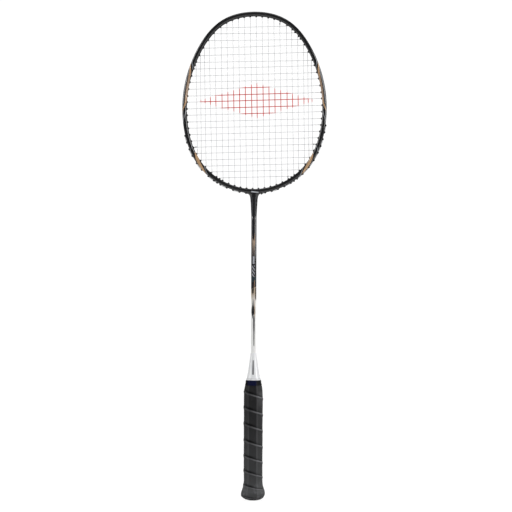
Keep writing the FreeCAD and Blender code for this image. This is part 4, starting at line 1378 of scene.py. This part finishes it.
def tape_material():
    """Near-black vinyl, blue in the middle, with a faint painted highlight along its top edge.
    """
    m = Material("finishing_tape_vinyl")
    cloud = m.noise(scale=30.0, detail=3.0)
    fine = m.noise(scale=500.0, rough=0.6, w=2.0)
    m.colour = m.mix(cloud, srgb(8, 8, 10), srgb(14, 15, 18))
    m.paint((m.x + 1.2).within(6.2, soft=1.4),
            m.mix(cloud, srgb(10, 13, 38), srgb(16, 20, 52)))
    # painted highlight along the top edge
    m.paint(m.z.inside(165.2, 165.6, soft=0.12) * 0.3, srgb(60, 64, 84))
    m.surface(roughness=cloud * 0.14 + 0.26,
              specular_IOR_level=(1.0 - m.facing().step(0.2, 0.6)) * 0.12)
    m.bump(fine * 0.4 + cloud * 0.6, strength=0.22, distance=0.00015)
    return m


def cap_material():
    m = Material("butt_cap_black_plastic")
    cloud = m.noise(scale=160.0, detail=3.0, rough=0.6)
    m.colour = m.mix(cloud, srgb(30, 30, 32), srgb(42, 42, 44))
    m.surface(roughness=cloud * 0.2 + 0.38)
    m.bump(m.noise(scale=1200.0, rough=0.6, w=4.0), strength=0.2, distance=0.0001)
    return m


def disc_material():
    """Dark brushed disc with a metallic ring."""
    m = Material("butt_disc_two_tone")
    radius = (m.x * m.x + m.y * m.y).sqrt()
    brush = m.noise(scale=240.0, rough=0.6, stretch=(1.0, 14.0, 1.0))
    ring = radius.inside(4.02, 4.62, soft=0.05)
    m.colour = m.mix(brush, srgb(36, 36, 38), srgb(46, 46, 49))
    m.paint(ring, srgb(176, 178, 182))
    m.surface(metallic=ring * 0.8, roughness=brush * 0.15 + 0.3)
    m.bump(brush, strength=0.1, distance=0.0001)
    return m


def plain_material(name, scale, dark, light, roughness, bump, detail=3.0, rough=0.5,
                   metallic=0.0):
    """One noise mixes two close colours and roughens the surface."""
    m = Material(name)
    cloud = m.noise(scale, detail, rough)
    m.colour = m.mix(cloud, dark, light)
    m.surface(metallic=metallic, roughness=cloud * 0.2 + roughness)
    m.bump(cloud, strength=bump, distance=0.0001)
    return m


def wood_material():
    m = Material("handle_wood_grain")
    growth = m.noise(scale=70.0, detail=3.0, rough=0.55, stretch=(1.0, 1.0, 0.06))
    pores = m.noise(scale=900.0, rough=0.6, w=5.0, stretch=(1.0, 1.0, 0.05))
    bands = (growth * 60.0).sin() * 0.5 + 0.5
    m.colour = m.mix(bands, srgb(206, 172, 124), srgb(176, 138, 92))
    m.paint(pores.step(0.6, 0.75) * 0.5, srgb(120, 86, 54))
    m.surface(roughness=growth * 0.2 + 0.55)
    m.bump(pores * 0.6 + bands * 0.4, strength=0.3, distance=0.0001)
    return m


string_material().cover(*string_pieces)
frame_material().cover(hoop)
grommet_material().cover(*grommets)
shaft_material().cover(shaft)
cone_material().cover(cone)
grip_material().cover(grip)
tape_material().cover(tape)
cap_material().cover(cap)
disc_material().cover(disc)

# pieces kept from the CAD, inside the others
plain_material("t_joint_carbon_filled_polymer", scale=300.0, detail=4.0, rough=0.6,
               dark=srgb(24, 24, 26), light=srgb(52, 52, 54),
               roughness=0.45, bump=0.3).cover(CAD["t_joint"])
plain_material("plug_rubber", scale=400.0, rough=0.6,
               dark=srgb(34, 32, 32), light=srgb(48, 46, 45),
               roughness=0.62, bump=0.3).cover(CAD["shaft_end_plug"])
wood_material().cover(CAD["handle_core"])
plain_material("tack_steel", scale=300.0, metallic=1.0,
               dark=srgb(150, 152, 156), light=srgb(182, 184, 188),
               roughness=0.25, bump=0.15).cover(CAD["grip_tack"])
plain_material("packing_ring_plastic", scale=350.0,
               dark=srgb(30, 30, 33), light=srgb(44, 44, 47),
               roughness=0.4, bump=0.15).cover(CAD["grip_packing_ring"])


# ---------------------------------------------------------------- studio (metres)
def studio_sweep():
    """White floor curving up into a backdrop, clear of the racket's shadow."""
    bend_y, bend_r, drop = 1.0, 1.2, 0.0004
    section = [(-3.2, 0.0), (bend_y, 0.0)]
    for k in range(1, 25):
        a = PI / 2 * k / 24
        section.append((bend_y + bend_r * math.sin(a), bend_r * (1 - math.cos(a))))
    section.append((bend_y + bend_r, 5.0))
    columns = np.linspace(-4.0, 4.0, 9)
    mesh = bpy.data.meshes.new("studio_sweep")
    mesh.from_pydata([(float(x), y, z - drop) for y, z in section for x in columns], [],
                     grid(len(section), len(columns), close_cols=False))
    mesh.shade_smooth()
    return link_object("studio_sweep", mesh)


def paper_material():
    """Glowing white to the camera, dim grey to every other ray."""
    m = Material("studio_paper_white")
    cloud = m.noise(scale=3.0)
    seen = m.value("LightPath", {}, "Is Camera Ray")
    m.colour = m.mix(seen, m.mix(cloud, grey(0.86), grey(0.82)),
                     m.mix(cloud, grey(0.20), grey(0.18)))
    m.surface(roughness=0.8, specular_IOR_level=0.15, emission_color=grey(1.0),
              emission_strength=seen * 0.84 + 0.06)
    m.bump(m.noise(scale=60.0), strength=0.02, distance=0.0002)
    return m


def studio_world():
    """White where the camera sees it, dimmer as a light, so gloss keeps its depth."""
    world = bpy.data.worlds.new("studio")
    bpy.context.scene.world = world
    world.use_nodes = True
    tree = world.node_tree
    background = tree.nodes["Background"]
    background.inputs[0].default_value = grey(1.0)
    as_light = 0.16
    seen = Value(tree, add_node(tree, "LightPath").outputs["Is Camera Ray"])
    feed(tree, background.inputs[1], seen.math("MULTIPLY_ADD", 1.0 - as_light, as_light))


def area_light(name, place, target, width, height, power):
    light = bpy.data.lights.new(name, "AREA")
    light.shape = "RECTANGLE"
    light.size, light.size_y = width, height
    light.energy = power
    ob = link_object(name, light)
    ob.location = place
    look = Vector(target) - Vector(place)
    ob.rotation_euler = look.to_track_quat("-Z", "Y").to_euler()


def add_camera(distance, aim, yaw, roll, lens):
    """Camera at a distance from its aim, swung towards +X by the yaw."""
    data = bpy.data.cameras.new("camera")
    data.sensor_fit = "HORIZONTAL"
    data.sensor_width = 36.0
    data.lens = lens
    data.clip_start, data.clip_end = 0.05, 30.0
    camera = link_object("camera", data)
    place = aim + vec(math.sin(yaw), -math.cos(yaw), 0) * distance
    camera.location = place
    camera.rotation_mode = "QUATERNION"
    camera.rotation_quaternion = ((aim - place).to_track_quat("-Z", "Y")
                                  @ Quaternion((0, 0, 1), roll))
    bpy.context.scene.camera = camera


floor = studio_sweep()
paper_material().cover(floor)
studio_world()
area_light("key_right", place=(2.2, -0.95, 1.1), target=(0, 0, 0.36), width=0.8, height=1.6,
           power=43.0)
area_light("fill_left", place=(-2.2, -0.95, 1.3), target=(0, 0, 0.36), width=0.8, height=1.6,
           power=34.0)
area_light("top_soft", place=(0.0, -0.3, 2.3), target=(0, 0, 0.4), width=1.6, height=1.2,
           power=11.0)
add_camera(distance=2.2, aim=vec(0.0030, 0, 0.3373), yaw=math.radians(4.0),
           roll=math.radians(0.2), lens=111.823594)
bpy.context.scene.view_settings.view_transform = "Standard"

bpy.context.view_layer.update()
